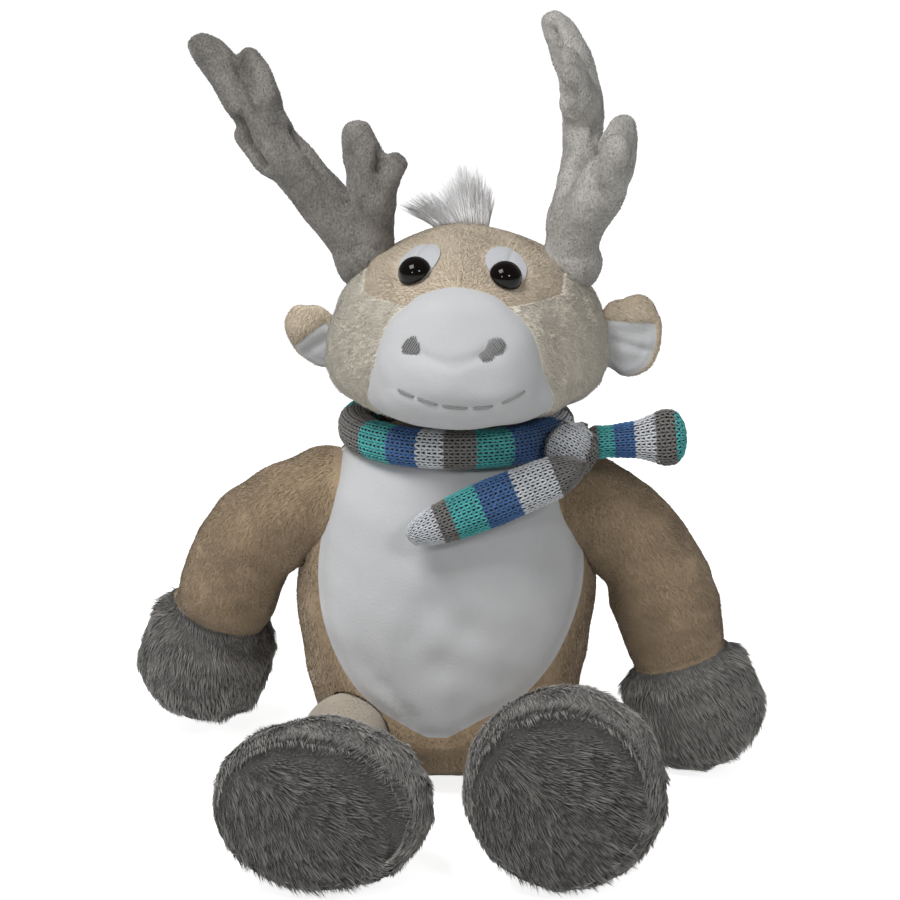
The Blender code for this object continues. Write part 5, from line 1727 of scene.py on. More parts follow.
@dataclass
class Ear:
    """An ear: a beige outer whose top is folded forward over a white lining."""

    side: Side
    turn: float
    length: float = 0.0208
    height: float = 0.032
    thickness: float = 0.0085
    root_radius: float = 0.0036
    back_share: float = 0.035
    droop: float = 8
    fold: Row = (0.16, 0.05)
    squeeze: float = 1.0
    # Shares of the length, the height and the thickness
    shares: tuple[Row, ...] = (
        (0.03, 0.42, 0.0), (0.14, 0.72, 0.0), (0.32, 0.84, 0.2), (0.52, 0.98, 0.8), (0.72, 0.93, 1.0),
        (0.88, 0.71, 1.0), (0.97, 0.4, 0.9),
    )

    def frame(self, head: Head) -> Points:
        """The frame of the ear's root, with Z along its fold.

        Args:
            head: The head that it sits on.

        Returns:
            The frame.
        """
        half = np.interp(
            self.back_share, [row[0] for row in head.shares], [row[1] for row in head.shares]
        ) * head.width / 2
        x = head.lean + self.side.value * (half + 0.0003)
        root = moving(x, self.back_share * head.length, 0.37 * head.height - head.drop)
        return HEAD_PLACE @ root @ turning("Y", self.side.value * self.droop) @ turning("Z", self.turn)

    def lining(self, points: Points) -> Points:
        """Below zero on the lining, which ends under the folded top.

        Args:
            points: Points, one row each.

        Returns:
            A value for each point.
        """
        s = self.side.value
        out = ((points[:, 0] - s * self.length * 0.43) / (self.length * 0.48)) ** 2
        out += ((points[:, 2] + 0.0012) / (self.height / 2 - 0.0018)) ** 2
        flat = (np.sqrt(out) - 1) * self.length / 2
        fold = points[:, 2] - self.height * (self.fold[0] + self.fold[1] * s * points[:, 0] / self.length)
        return np.where(points[:, 1] < 0.0004, np.maximum(flat, fold), 0.02)

    def build(self, room: Workroom, head: Head) -> None:
        """Makes the ear's outer, its lining and its pile.

        Args:
            room: Makes and joins the pieces.
            head: The head that it sits on.
        """
        s, sides = self.side.value, 72
        rows = [pole((-s * self.root_radius, 0, 0), sides)]
        for along, tall, thick in self.shares:
            x = s * (along * (self.length + self.root_radius) - self.root_radius)
            deep = self.root_radius + (self.thickness / 2 - self.root_radius) * thick
            rows.append(oval((x, 0, 0), (0, deep * tall, 0), (0, 0, self.height / 2 * tall * self.squeeze), sides))
        rows.append(pole((s * self.length, 0, 0), sides))
        form = Skin.over(smooth(rows, 0.0012))
        p = form.points
        inside = np.clip(-self.lining(p) / 0.003, 0, 1)
        amount = -0.0016 * inside
        amount -= np.where(p[:, 1] < 0, 0.0009 * dip(self.lining(p), 0.0012), 0)
        amount -= 0.0012 * dip(p[:, 2] + 0.0025 + 0.1 * s * p[:, 0], 0.0014) * inside
        amount += 0.0003 * ripple(p, 0.012, 31 + s)
        form = form.pushed(amount)
        front, outer = form.cut(self.lining)
        frame = self.frame(head)
        word = self.side.word
        body = f"ear_{word}"
        room.cover(
            outer.placed(frame), f"ear_{word}_cover", "crown_plush", body, Slot.BEIGE, (f"ear_{word}_outer",), 0.5
        )
        room.cover(
            front.placed(frame), f"ear_{word}_inside", "white_velour", body, Slot.WHITE, (f"ear_{word}_lining",), 0.5
        )
        comb = unit(np.array([s, 0, -0.4]))
        room.coat(outer.placed(frame), f"ear_{word}_pile", EAR_COAT, body, Slot.BEIGE, frame[:3, :3] @ comb)


def stem(points: Points, radii: Points, depth: float, round_root: bool, sides: int = 48, step: float = 0.0014) -> Skin:
    """A round-ended stem through points, in planes square to it.

    Args:
        points: The line's points.
        radii: The half-width at each.
        depth: The thickness along Y as a share of the width.
        round_root: True where the first end is a ball about the first point.
        sides: How many points to a ring.
        step: The distance between the rings.

    Returns:
        The closed surface.
    """
    ways = unit(np.array([points[min(i + 1, len(points) - 1)] - points[max(i - 1, 0)] for i in range(len(points))]))
    if round_root:
        ways[0] = 0, 0, 1

    def ring(centre: Points, way: Points, radius: float) -> Points:
        """One ring, square to its way.

        Args:
            centre: The middle.
            way: The direction.
            radius: The half-width, for all of it or at each point.

        Returns:
            The ring.
        """
        across = unit(np.cross((0.0, 1.0, 0.0), way))
        back = unit(np.cross(way, across))
        return oval(centre, across * radius, back * radius * depth, sides)

    half = math.sqrt(0.5)
    rows = [
        pole(points[0] - ways[0] * radii[0], sides),
        ring(points[0] - ways[0] * radii[0] * half, ways[0], radii[0] * half),
    ]
    rows += [ring(*values) for values in zip(points, ways, radii)]
    rows += [
        ring(points[-1] + ways[-1] * radii[-1] * half, ways[-1], radii[-1] * half),
        pole(points[-1] + ways[-1] * radii[-1], sides),
    ]
    return Skin.over(smooth(rows, step))


@dataclass
class Antler:
    """A stuffed velour antler: a main beam joined by its points."""

    side: Side
    stems: tuple[tuple[Row, ...], ...]
    depth: float
    grooves: tuple[tuple[Row, ...], ...]
    height: float = 0.086
    root_radius: float = 0.0118
    lift: float = 0.0018
    voxel: float = 0.0011
    smoothing: int = 9
    groove: Row = (0.0034, 0.0024)
    stitch: Row = (0.001, 0.0008)

    def frame(self, head: Head) -> Points:
        """The frame of the antler's root on the head."""
        place, normal = head.on_top(
            head.lean + self.side.value * head.antler_place[0], head.antler_place[1] * head.length
        )
        return HEAD_PLACE @ moving(*(place + normal * self.lift))

    def build(self, room: Workroom, head: Head) -> None:
        """Makes the antler and its nap.

        Args:
            room: Makes and joins the pieces.
            head: The head that it sits on.
        """
        parts = []
        for number, rows in enumerate(self.stems):
            points = np.array([(self.side.value * row[0], row[1], row[2]) for row in rows]) * self.height
            radii = np.array([row[3] for row in rows]) * self.height
            if number == 0:
                radii[0] = self.root_radius
            parts.append(stem(points, radii, 1 if number == 0 else self.depth, number == 0))
        form = rounded(parts[0].joined(*parts[1:]), self.voxel, self.smoothing)
        p = form.points
        amount = 0.0004 * ripple(p, 0.02, 41 + self.side.value) + 0.0002 * ripple(p, 0.008, 43)
        for groove in self.grooves:
            line = np.array(groove) * (self.side.value * self.height, self.height, self.height)
            away = line_distance(p, line)
            amount -= self.groove[0] * dip(away, self.groove[1]) + self.stitch[0] * dip(away, self.stitch[1])
        form = form.pushed(amount * np.clip(p[:, 2] / 0.012, 0, 1)).placed(self.frame(head))
        word = self.side.word
        # Each side's velour and nap carry painted light: darker on the left as painted shade, paler on the right.
        room.solid(
            form, f"velour_antler_{word}", f"{word}_velour", f"antler_{word}", (f"antler_{word}",)
        )
        room.coat(
            form, f"antler_{word}_nap", replace(NAP_COAT, finish=f"{word}_nap"), f"antler_{word}", Slot.ANTLER,
            (0, 0, 1),
        )


def rounded(skin: Skin, voxel: float, smoothing: int) -> Skin:
    """The outside of joined closed surfaces as one even surface, with its creases softened.

    Args:
        skin: The surface.
        voxel: The size of its faces.
        smoothing: How often it is smoothed.

    Returns:
        The even surface.
    """
    source = skin.build("rounding")
    remesh = source.modifiers.new("even", "REMESH")
    remesh.mode, remesh.voxel_size = "VOXEL", voxel
    soft = source.modifiers.new("soft", "SMOOTH")
    soft.factor, soft.iterations = 0.5, smoothing
    mesh = evaluated(source)
    points = np.zeros(len(mesh.vertices) * 3)
    mesh.vertices.foreach_get("co", points)
    return Skin(points.reshape(-1, 3), [tuple(face.vertices) for face in mesh.polygons])


@dataclass
class Hair:
    """The tuft of long white strands in the seam at the top of the head."""

    width: float = 0.02
    shift: float = -0.0028
    back_share: float = 0.1
    across: int = 25
    deep: int = 5

    def build(self, room: Workroom, head: Head) -> None:
        """Plants the strands on a narrow strip.

        Args:
            room: Makes and joins the pieces.
            head: The head that it sits on.
        """
        seat, _ = head.on_top(head.lean, self.back_share * head.length)
        seat = seat + (self.shift, 0, 0.0002)
        rows, combs, grows = [], [], []
        for u in np.linspace(-1, 1, self.across):
            for v in np.linspace(-1, 1, self.deep):
                rows.append(seat + (u * self.width / 2, v * 0.003, -0.0006 * u * u))
                combs.append((-0.05 + 0.62 * min(u - 0.35, 0) + 0.1 * max(u - 0.35, 0), -0.1 * v - 0.05, 0))
                grows.append(0.62 + 0.38 * math.exp(-(((u - 0.35) / 0.3) ** 2)))
        corners = (0, 1, self.deep + 1, self.deep)
        starts = [i * self.deep + j for i in range(self.across - 1) for j in range(self.deep - 1)]
        faces = [tuple(start + corner for corner in corners) for start in starts]
        strip = Skin(np.array(rows), [face[::-1] for face in faces])
        strip.points = placed(strip.points, HEAD_PLACE)
        room.coat(
            strip, "hair", HAIR_COAT, "head", Slot.WHITE, np.array(combs), np.array(grows), stands_for=("hair_tuft",)
        )


# Each stem of an antler: outwards, backwards and up from the root, and its half-width
LEFT_STEMS = (
    (
        (0.0, 0.0, 0.0, 0.122), (0.051, 0.0, 0.08, 0.11), (0.132, 0.01, 0.189, 0.112), (0.248, 0.02, 0.326, 0.109),
        (0.363, 0.035, 0.465, 0.107), (0.469, 0.045, 0.615, 0.1), (0.563, 0.05, 0.732, 0.088),
        (0.644, 0.055, 0.839, 0.075), (0.70, 0.055, 0.904, 0.058),
    ),
    (
        (0.435, 0.045, 0.616, 0.085), (0.456, 0.05, 0.734, 0.073), (0.482, 0.055, 0.833, 0.061),
        (0.49, 0.055, 0.851, 0.055),
    ),
    ((0.38, 0.03, 0.409, 0.085), (0.474, 0.04, 0.493, 0.067), (0.508, 0.045, 0.522, 0.061)),
    (
        (-0.01, 0.0, 0.02, 0.107), (-0.03, -0.04, 0.163, 0.105), (-0.038, -0.08, 0.304, 0.105),
        (-0.017, -0.09, 0.426, 0.093), (0.013, -0.09, 0.515, 0.079), (0.017, -0.09, 0.545, 0.071),
    ),
    ((-0.06, -0.08, 0.313, 0.085), (-0.115, -0.085, 0.394, 0.063), (-0.141, -0.09, 0.426, 0.054)),
)
RIGHT_STEMS = (
    (
        (0.0, 0.0, 0.0, 0.122), (0.0, 0.0, 0.09, 0.107), (0.0, 0.0, 0.165, 0.109), (0.021, 0.03, 0.279, 0.102),
        (0.038, 0.09, 0.396, 0.094), (0.043, 0.15, 0.512, 0.089), (0.038, 0.2, 0.631, 0.086),
        (0.013, 0.25, 0.737, 0.086), (-0.021, 0.29, 0.841, 0.088), (-0.064, 0.31, 0.933, 0.073),
        (-0.09, 0.315, 0.98, 0.058),
    ),
    ((0.035, 0.14, 0.62, 0.08), (0.01, 0.1, 0.74, 0.066), (-0.02, 0.08, 0.85, 0.054)),
    ((0.045, 0.14, 0.42, 0.07), (0.05, 0.26, 0.5, 0.06), (0.045, 0.31, 0.545, 0.05)),
    (
        (0.0, 0.0, 0.05, 0.095), (0.064, -0.06, 0.216, 0.105), (0.137, -0.1, 0.348, 0.105),
        (0.184, -0.12, 0.478, 0.093), (0.209, -0.12, 0.575, 0.062), (0.213, -0.12, 0.597, 0.054),
    ),
    ((0.158, -0.14, 0.4, 0.085), (0.185, -0.2, 0.49, 0.063), (0.19, -0.23, 0.53, 0.054)),
)


# The creases sewn into each antler, in the same shares
LEFT_GROOVES = (
    ((0.535, 0.0, 0.86), (0.52, 0.002, 0.798), (0.471, -0.023, 0.717), (0.443, -0.047, 0.64)),
    ((0.297, 0.009, 0.546), (0.208, -0.028, 0.424), (0.066, -0.086, 0.264)),
    ((0.533, -0.024, 0.583), (0.497, -0.01, 0.482), (0.437, -0.024, 0.395)),
    ((-0.087, -0.114, 0.477), (-0.082, -0.148, 0.41)),
)
RIGHT_GROOVES = (
    ((-0.095, 0.25, 0.952), (-0.068, 0.219, 0.862), (-0.048, 0.1, 0.829), (-0.044, 0.071, 0.704)),
    ((0.115, 0.094, 0.56), (0.115, 0.02, 0.513), (0.102, -0.182, 0.478), (0.09, -0.19, 0.42)),
)


# Scarf


def even_oval(
    centre: Sequence[float], across: Sequence[float], up: Sequence[float], sides: int, power: float = 2.0
) -> Points:
    """Points round an oval at even distances from each other.

    Args:
        centre: The middle.
        across: The half-axis that the first point lies on.
        up: The half-axis a quarter turn on.
        sides: How many points to a ring.
        power: 2 for an ellipse, more for a squarer form.

    Returns:
        The points, one row each.
    """
    fine = oval(centre, across, up, 720, power)
    ring = np.vstack([fine, fine[:1]])
    along = np.concatenate([[0], np.cumsum(np.linalg.norm(np.diff(ring, axis=0), axis=1))])
    wanted = np.linspace(0, along[-1], sides, endpoint=False)
    return np.stack([np.interp(wanted, along, ring[:, i]) for i in range(3)], 1)


def stitched(grid: Points, yarns: Points, seed: int, loop: bool = False) -> dict[str, Points]:
    """One knit stitch at every point of a grid.

    Args:
        grid: Course, wale and coordinate.
        yarns: The yarn's number at each course and wale.
        seed: For the small unevenness of hand work.
        loop: True where the last course leads back to the first.

    Returns:
        Arrays of place, way, face, size and tone.
    """
    along = (np.roll(grid, -1, 0) - np.roll(grid, 1, 0)) / 2 if loop else np.gradient(grid, axis=0)
    across = (np.roll(grid, -1, 1) - np.roll(grid, 1, 1)) / 2
    face = unit(np.cross(across, along))
    outward = grid - grid.mean(1, keepdims=True)
    face *= np.sign((face * outward).sum(2).sum())
    dice = np.random.default_rng(seed)
    count = grid.shape[0] * grid.shape[1]
    wide = np.linalg.norm(across, axis=2).ravel() * dice.uniform(0.94, 1.06, count)
    long = np.linalg.norm(along, axis=2).ravel() * dice.uniform(0.97, 1.05, count)
    shade = dice.uniform(0, 0.99, count)
    return {
        "place": grid.reshape(-1, 3) + face.reshape(-1, 3) * dice.uniform(-0.0001, 0.0001, (count, 1)),
        "way": along.reshape(-1, 3),
        "face": face.reshape(-1, 3) + dice.normal(0, 0.05, (count, 3)),
        "size": np.stack([wide, long, np.full(count, 0.0017)], 1),
        "tone": (yarns.ravel() + shade) / len(Yarn),
    }


def chosen(laid: dict[str, Points], keep: Points) -> dict[str, Points]:
    """Only some of the stitches."""
    return {key: values[keep] for key, values in laid.items()}


def striped(places: Points, stripes: Sequence[tuple[float, Yarn]]) -> Points:
    """The yarn's number at each place, from stripes given by where each ends.

    Args:
        places: Where along the scarf.
        stripes: Where each stripe ends, and its yarn.

    Returns:
        The numbers.
    """
    ends = [end for end, _ in stripes]
    numbers = np.array([yarn.value for _, yarn in stripes])
    return numbers[np.clip(np.searchsorted(ends, places), 0, len(stripes) - 1)]


@dataclass
class Tail:
    """One padded end of the scarf on a round root beside the knot."""

    side: Side
    length: float
    start: Row
    drop: float
    forward: float
    shares: tuple[Row, ...]
    stripes: tuple[tuple[float, Yarn], ...]
    root: float = 0.0
    width: float = 0.0165
    thickness: float = 0.0095
    root_radius: float = 0.0038
    wales: int = 19

    def build(self, room: Workroom, knot_frame: Points, knot_half: Points) -> None:
        """Makes the tail's padding and its stitches.

        Args:
            room: Makes and joins the pieces.
            knot_frame: The knot's frame.
            knot_half: The knot's half-sizes.
        """
        s = self.side.value
        way = unit(np.array(self.start))
        reach = 1 / np.linalg.norm(way / knot_half)
        start = placed((way * (reach + self.root_radius + 0.0006))[None], knot_frame)[0]
        turn = turning("Z", -s * self.forward) @ turning("Y", s * self.drop)
        frame = moving(*start) @ turn
        for part in ("core", "knit"):
            inset = 0.0008 if part == "core" else 0.0002
            sides = 40 if part == "core" else self.wales
            rows = [pole((-s * (self.root_radius + self.root), 0, 0), sides)]
            for share in (0.7, 1.0):
                half = (self.root_radius + self.root * 0.4) * share - inset
                rows.append(
                    even_oval((s * (share - 1) * 0.004 - s * self.root, 0, 0), (0, 0, half), (0, half, 0), sides)
                )
            for along, wide, thick in self.shares:
                half, deep = wide * self.width / 2 - inset, thick * self.thickness / 2 - inset
                rows.append(even_oval((s * along * self.length, 0, 0), (0, 0, half), (0, deep, 0), sides))
            rows.append(pole((s * (self.length - inset), 0, 0), sides))
            rings = placed(smooth(rows, 0.0019), frame)
            word = self.side.word
            if part == "core":
                room.solid(
                    Skin.over(rings), f"tail_{word}_padding", "scarf_core", f"tail_{word}",
                    (f"scarf_tail_{word}",),
                )
                continue
            grid = rings[1:-1]
            share = np.linspace(0, 1, len(grid))[:, None] * np.ones(self.wales)
            laid = stitched(grid, striped(share, self.stripes), 60 + s)
            keep = laid["size"][:, 0] > 0.0004
            room.lay(room.knit, f"tail_{word}_stitches", "scarf_yarn", f"tail_{word}", chosen(laid, keep))


@dataclass
class Scarf:
    """The knitted scarf: a padded collar, its knot and two tails."""

    shift: float = 0.0035
    width: float = 0.088
    depth: float = 0.083
    height: float = 0.0138
    thickness: float = 0.013
    level: float = 0.1346
    power: float = 2.4
    knot_size: Row = (0.02, 0.018, 0.0205)
    knot_angle: float = -38
    wales: int = 17
    # Where each stripe ends, in degrees round the neck
    stripes: tuple[tuple[float, Yarn], ...] = (
        (-172, Yarn.GREY), (-158, Yarn.TEAL), (-138, Yarn.GREY), (-118, Yarn.WHITE), (-102, Yarn.BLUE),
        (-84, Yarn.TEAL), (-66, Yarn.GREY), (-46, Yarn.WHITE), (-32, Yarn.BLUE), (-14, Yarn.TEAL), (4, Yarn.GREY),
        (24, Yarn.WHITE), (39.8, Yarn.BLUE), (61.4, Yarn.BLUE), (79, Yarn.TEAL), (98.1, Yarn.GREY), (111.8, Yarn.WHITE),
        (126.5, Yarn.BLUE), (144.9, Yarn.TEAL), (180, Yarn.GREY),
    )

    def collar_rings(self, grow: float, sides: int, steps: int) -> Points:
        """Rings round the collar's section, all the way round the neck.

        Args:
            grow: How much wider than its size.
            sides: How many points to a ring.
            steps: How many rings.

        Returns:
            The rings.
        """
        rows = []
        for turn in np.arange(steps) * math.tau / steps:
            way = np.array([math.cos(turn), math.sin(turn), 0])
            reach = np.array([self.width - self.thickness, self.depth - self.thickness, 0]) / 2
            middle = way * reach + (self.shift, 0, self.level)
            rows.append(
                even_oval(middle, way * (self.thickness / 2 + grow), (0, 0, self.height / 2 + grow), sides, self.power)
            )
        return np.stack(rows)

    def build(self, room: Workroom) -> None:
        """Makes the collar, the knot and the tails.

        Args:
            room: Makes and joins the pieces.
        """
        # The padding under the stitches is near black, as painted shade in their gaps.
        core = Skin.over(self.collar_rings(-0.0008, 28, 120), loop=True)
        room.solid(core, "collar_padding", "scarf_core", "torso", ("scarf_collar",))
        grid = self.collar_rings(-0.0002, self.wales, 132)
        across = grid.mean(1) - (self.shift, 0, 0)
        turn = np.degrees(np.arctan2(-across[:, 1] / self.depth, across[:, 0] / self.width))
        laid = stitched(grid, striped(turn[:, None] * np.ones(self.wales), self.stripes), 51, loop=True)
        room.lay(room.knit, "collar_stitches", "scarf_yarn", "torso", laid)
        frame, half = self.knot(room)
        for tail in TAILS:
            tail.build(room, frame, half)

    def knot(self, room: Workroom) -> tuple[Points, Points]:
        """Makes the knot's padding and its stitches.

        Args:
            room: Makes and joins the pieces.

        Returns:
            The knot's frame and its half-sizes.
        """
        angle = math.radians(self.knot_angle)
        way = np.array([math.cos(angle), math.sin(angle), 0])
        place = way * (self.width / 2, self.depth / 2, 0) + way * self.knot_size[1] / 2 + (
            self.shift, 0, self.level - 0.0015
        )
        frame = moving(*place) @ turning("Z", self.knot_angle + 90)
        half = np.array(self.knot_size) / 2
        tilt = (turning("Y", 32) @ turning("X", 12))[:3, :3]
        for part in ("core", "knit"):
            count, sides = (20, 48) if part == "core" else (14, 32)
            up = np.linspace(0, math.pi, count) if part == "core" else np.linspace(0.35, math.pi - 0.35, count)
            around = np.arange(sides) * math.tau / sides
            fold = 1 - 0.14 * dip(np.angle(np.exp(1j * (around - 4.5))), 0.3)
            flat = np.sin(up)[:, None] * fold[None]
            ball = np.stack(
                [flat * np.cos(around), flat * np.sin(around), np.cos(up)[:, None] * np.ones(sides)], 2
            ) @ tilt.T
            if part == "core":
                room.solid(
                    Skin.over(placed(ball * (half - 0.0007), frame)), "knot_padding", "scarf_core", "torso",
                    ("scarf_knot",),
                )
                continue
            grid = placed(np.swapaxes(ball, 0, 1) * half, frame)
            own = np.where(np.abs(np.angle(np.exp(1j * (around - 3.6)))) < 0.95, Yarn.WHITE.value, Yarn.GREY.value)
            laid = stitched(grid, own[:, None] * np.ones(count), 52, loop=True)
            laid["face"] = unit(grid.reshape(-1, 3) - place) + np.random.default_rng(5).normal(
                0, 0.05, (grid.size // 3, 3)
            )
            room.lay(room.knit, "knot_stitches", "scarf_yarn", "torso", laid)
        return frame, half


TAILS = (
    Tail(
        Side.LEFT,
        0.0665,
        (-0.7, -0.75, -0.2),
        22,
        4,
        (
            (0.1, 0.85, 1.1), (0.3, 1.0, 1.3), (0.5, 1.06, 1.4), (0.68, 1.0, 1.3), (0.82, 0.86, 1.15),
            (0.92, 0.66, 0.95), (0.985, 0.34, 0.5),
        ),
        (
            (0.17, Yarn.GREY), (0.4, Yarn.WHITE), (0.57, Yarn.BLUE), (0.73, Yarn.TEAL), (0.83, Yarn.GREY),
            (1.0, Yarn.WHITE),
        ),
    ),
    Tail(
        Side.RIGHT,
        0.0305,
        (1.0, -0.35, 0.1),
        -4,
        0,
        (
            (0.06, 0.7, 1.1), (0.24, 0.76, 1.15), (0.43, 0.86, 1.2), (0.6, 1.08, 1.25), (0.76, 1.27, 1.25),
            (0.88, 1.17, 1.1), (0.96, 0.8, 0.8), (0.99, 0.4, 0.4),
        ),
        (
            (0.14, Yarn.GREY), (0.31, Yarn.TEAL), (0.47, Yarn.BLUE), (0.64, Yarn.WHITE), (0.84, Yarn.GREY),
            (1.0, Yarn.TEAL),
        ),
        0.004,
    ),
)


# Limbs


def square_ring(centre: Points, half: float, way: Points, sides: int) -> Points:
    """A round ring square to a way that lies in the XZ plane."""
    across = unit(np.cross((0.0, 1.0, 0.0), way))
    return oval(centre, across * -half, (0, half, 0), sides)


@dataclass
class Arm:
    """An arm: a beige sleeve from its root dome to the cuff, and a long-pile hoof mitt."""

    side: Side
    reach: float
    swing: float
    radius: float = 0.0195
    gap: float = 0.0018
    depth: float = 0.0145
    hoof_length: float = 0.0425
    hoof_radius: float = 0.0255
    cuff_lift: float = 0.0022
    sides: int = 96
    # Shares of the root's radius and of its depth, from the middle of its dome outwards
    root: tuple[Row, ...] = ((0.0, 1.0), (0.7, 0.98), (0.98, 0.88), (1.1, 0.68), (1.14, 0.4), (1.13, 0.1))
    # Share outwards, share downwards, half-width and slope in degrees
    shares: tuple[Row, ...] = (
        (0.0, 0.0, 0.9, 0.0), (0.215, 0.12, 1.0, 20.0), (0.425, 0.265, 0.985, 36.0), (0.665, 0.49, 1.005, 54.6),
        (0.85, 0.72, 1.015, 65.0), (1.0, 1.0, 1.03, 72.5),
    )
    # Shares of the hoof's length and of its radius
    hoof_shares: tuple[Row, ...] = (
        (0.0, 0.8), (0.07, 0.93), (0.25, 1.0), (0.5, 1.03), (0.72, 0.97), (0.88, 0.78), (0.97, 0.5)
    )

    def shoulder(self, torso: Torso) -> Points:
        """The middle of the root on the torso's side.

        Args:
            torso: The torso that it is sewn to.

        Returns:
            The point.
        """
        z = torso.shoulder_share
        half = between(torso.shares, z, 1) * torso.width / 2
        return np.array([self.side.value * half, 0, z * torso.height])

    def sections(self, torso: Torso) -> list[tuple[Points, float, Points]]:
        """Centre, half-width and way of each section after the root.

        Args:
            torso: The torso that it is sewn to.

        Returns:
            The sections, in order.
        """
        root, s = self.shoulder(torso), self.side.value
        out = torso.width / 2 + self.gap - abs(root[0])
        drop = root[2] - 0.0008 - self.hoof_length
        made = []
        for outward, down, half, slope in self.shares[1:]:
            x = out * min(outward / self.shares[2][0], 1) + outward * self.reach
            angle = math.radians(slope)
            made.append(
                (
                    np.array([s * x, 0, -down * drop]), half * self.radius,
                    np.array([s * math.cos(angle), 0, -math.sin(angle)]),
                )
            )
        return made

    def form(self, sections: Sequence[tuple[Points, float, Points]], down: Points) -> Skin:
        """The arm in its own space, from its root dome to the end of the hoof.

        Args:
            sections: Centre, half-width and way of each section after the root.
            down: The way that the hoof hangs.

        Returns:
            The closed surface.
        """
        s, sides = self.side.value, self.sides
        first = self.radius * self.shares[0][2]
        rows = []
        for wide, deep in self.root:
            centre = (-s * self.depth * deep, 0, 0)
            rows.append(
                oval(centre, (0, 0, wide * first * s), (0, wide * first, 0), sides) if wide else pole(centre, sides)
            )
        rows += [square_ring(*section, sides) for section in sections]
        cuff, _, way = sections[-1]
        for along, wide in self.hoof_shares:
            spin = min(along / 0.33, 1)
            heading = unit(way * (1 - spin) + down * spin)
            centre = cuff + heading * (0.0003 + along * (self.hoof_length - 0.0003))
            rows.append(square_ring(centre, wide * self.hoof_radius, heading, sides))
        rows.append(pole(cuff + down * self.hoof_length, sides))
        return Skin.over(smooth(rows, 0.002))

    def build(self, room: Workroom, torso: Torso) -> None:
        """Makes the sleeve, the hoof and their pile.

        Args:
            room: Makes and joins the pieces.
            torso: The torso that it is sewn to.
        """
        s = self.side.value
        frame = moving(*self.shoulder(torso)) @ turning("X", self.swing)
        sections = self.sections(torso)
        cuff, _, way = sections[-1]
        down = unit(np.array([s * 0.3, 0, -1.0]))
        form = self.form(sections, down)
        square = turning("X", -self.swing * 0.9)[:3, :3] @ way

        def past_cuff(p: Points) -> Points:
            """Below zero on the sleeve."""
            return (p - cuff) @ square + self.cuff_lift

        p = form.points
        amount = -0.0012 * dip(past_cuff(p), 0.003) - 0.0008 * np.clip(past_cuff(p) / 0.004, 0, 1)
        amount += 0.0005 * ripple(p, 0.03, 71 + s) + 0.00025 * ripple(p, 0.013, 72)
        amount *= np.clip(s * p[:, 0] / 0.008, 0, 1)
        form = form.pushed(amount)
        sleeve, hoof = form.cut(past_cuff)
        word, body = self.side.word, f"arm_{self.side.word}"
        spin = frame[:3, :3]
        room.cover(sleeve.placed(frame), f"sleeve_{word}", "beige_plush", body, Slot.BEIGE, (f"arm_{word}",), 0.6)
        room.cover(hoof.placed(frame), f"hoof_mitt_{word}", "grey_plush", body, Slot.GREY, (f"hoof_{word}",), 0.7)
        shown = np.clip((s * sleeve.points[:, 0] + 0.008) / 0.002, 0, 1)
        room.coat(
            sleeve.placed(frame), f"sleeve_{word}_pile", SLEEVE_COAT, body, Slot.BEIGE,
            spin @ unit(np.array([s * 0.5, 0, -1.0])), cover=shown,
        )
        comb = unit(unit(hoof.points - (cuff - way * 0.01)) + down + np.array([0.5, 0, 0]))
        room.coat(hoof.placed(frame), f"hoof_{word}_pile", HOOF_COAT, body, Slot.GREY, comb @ spin.T)


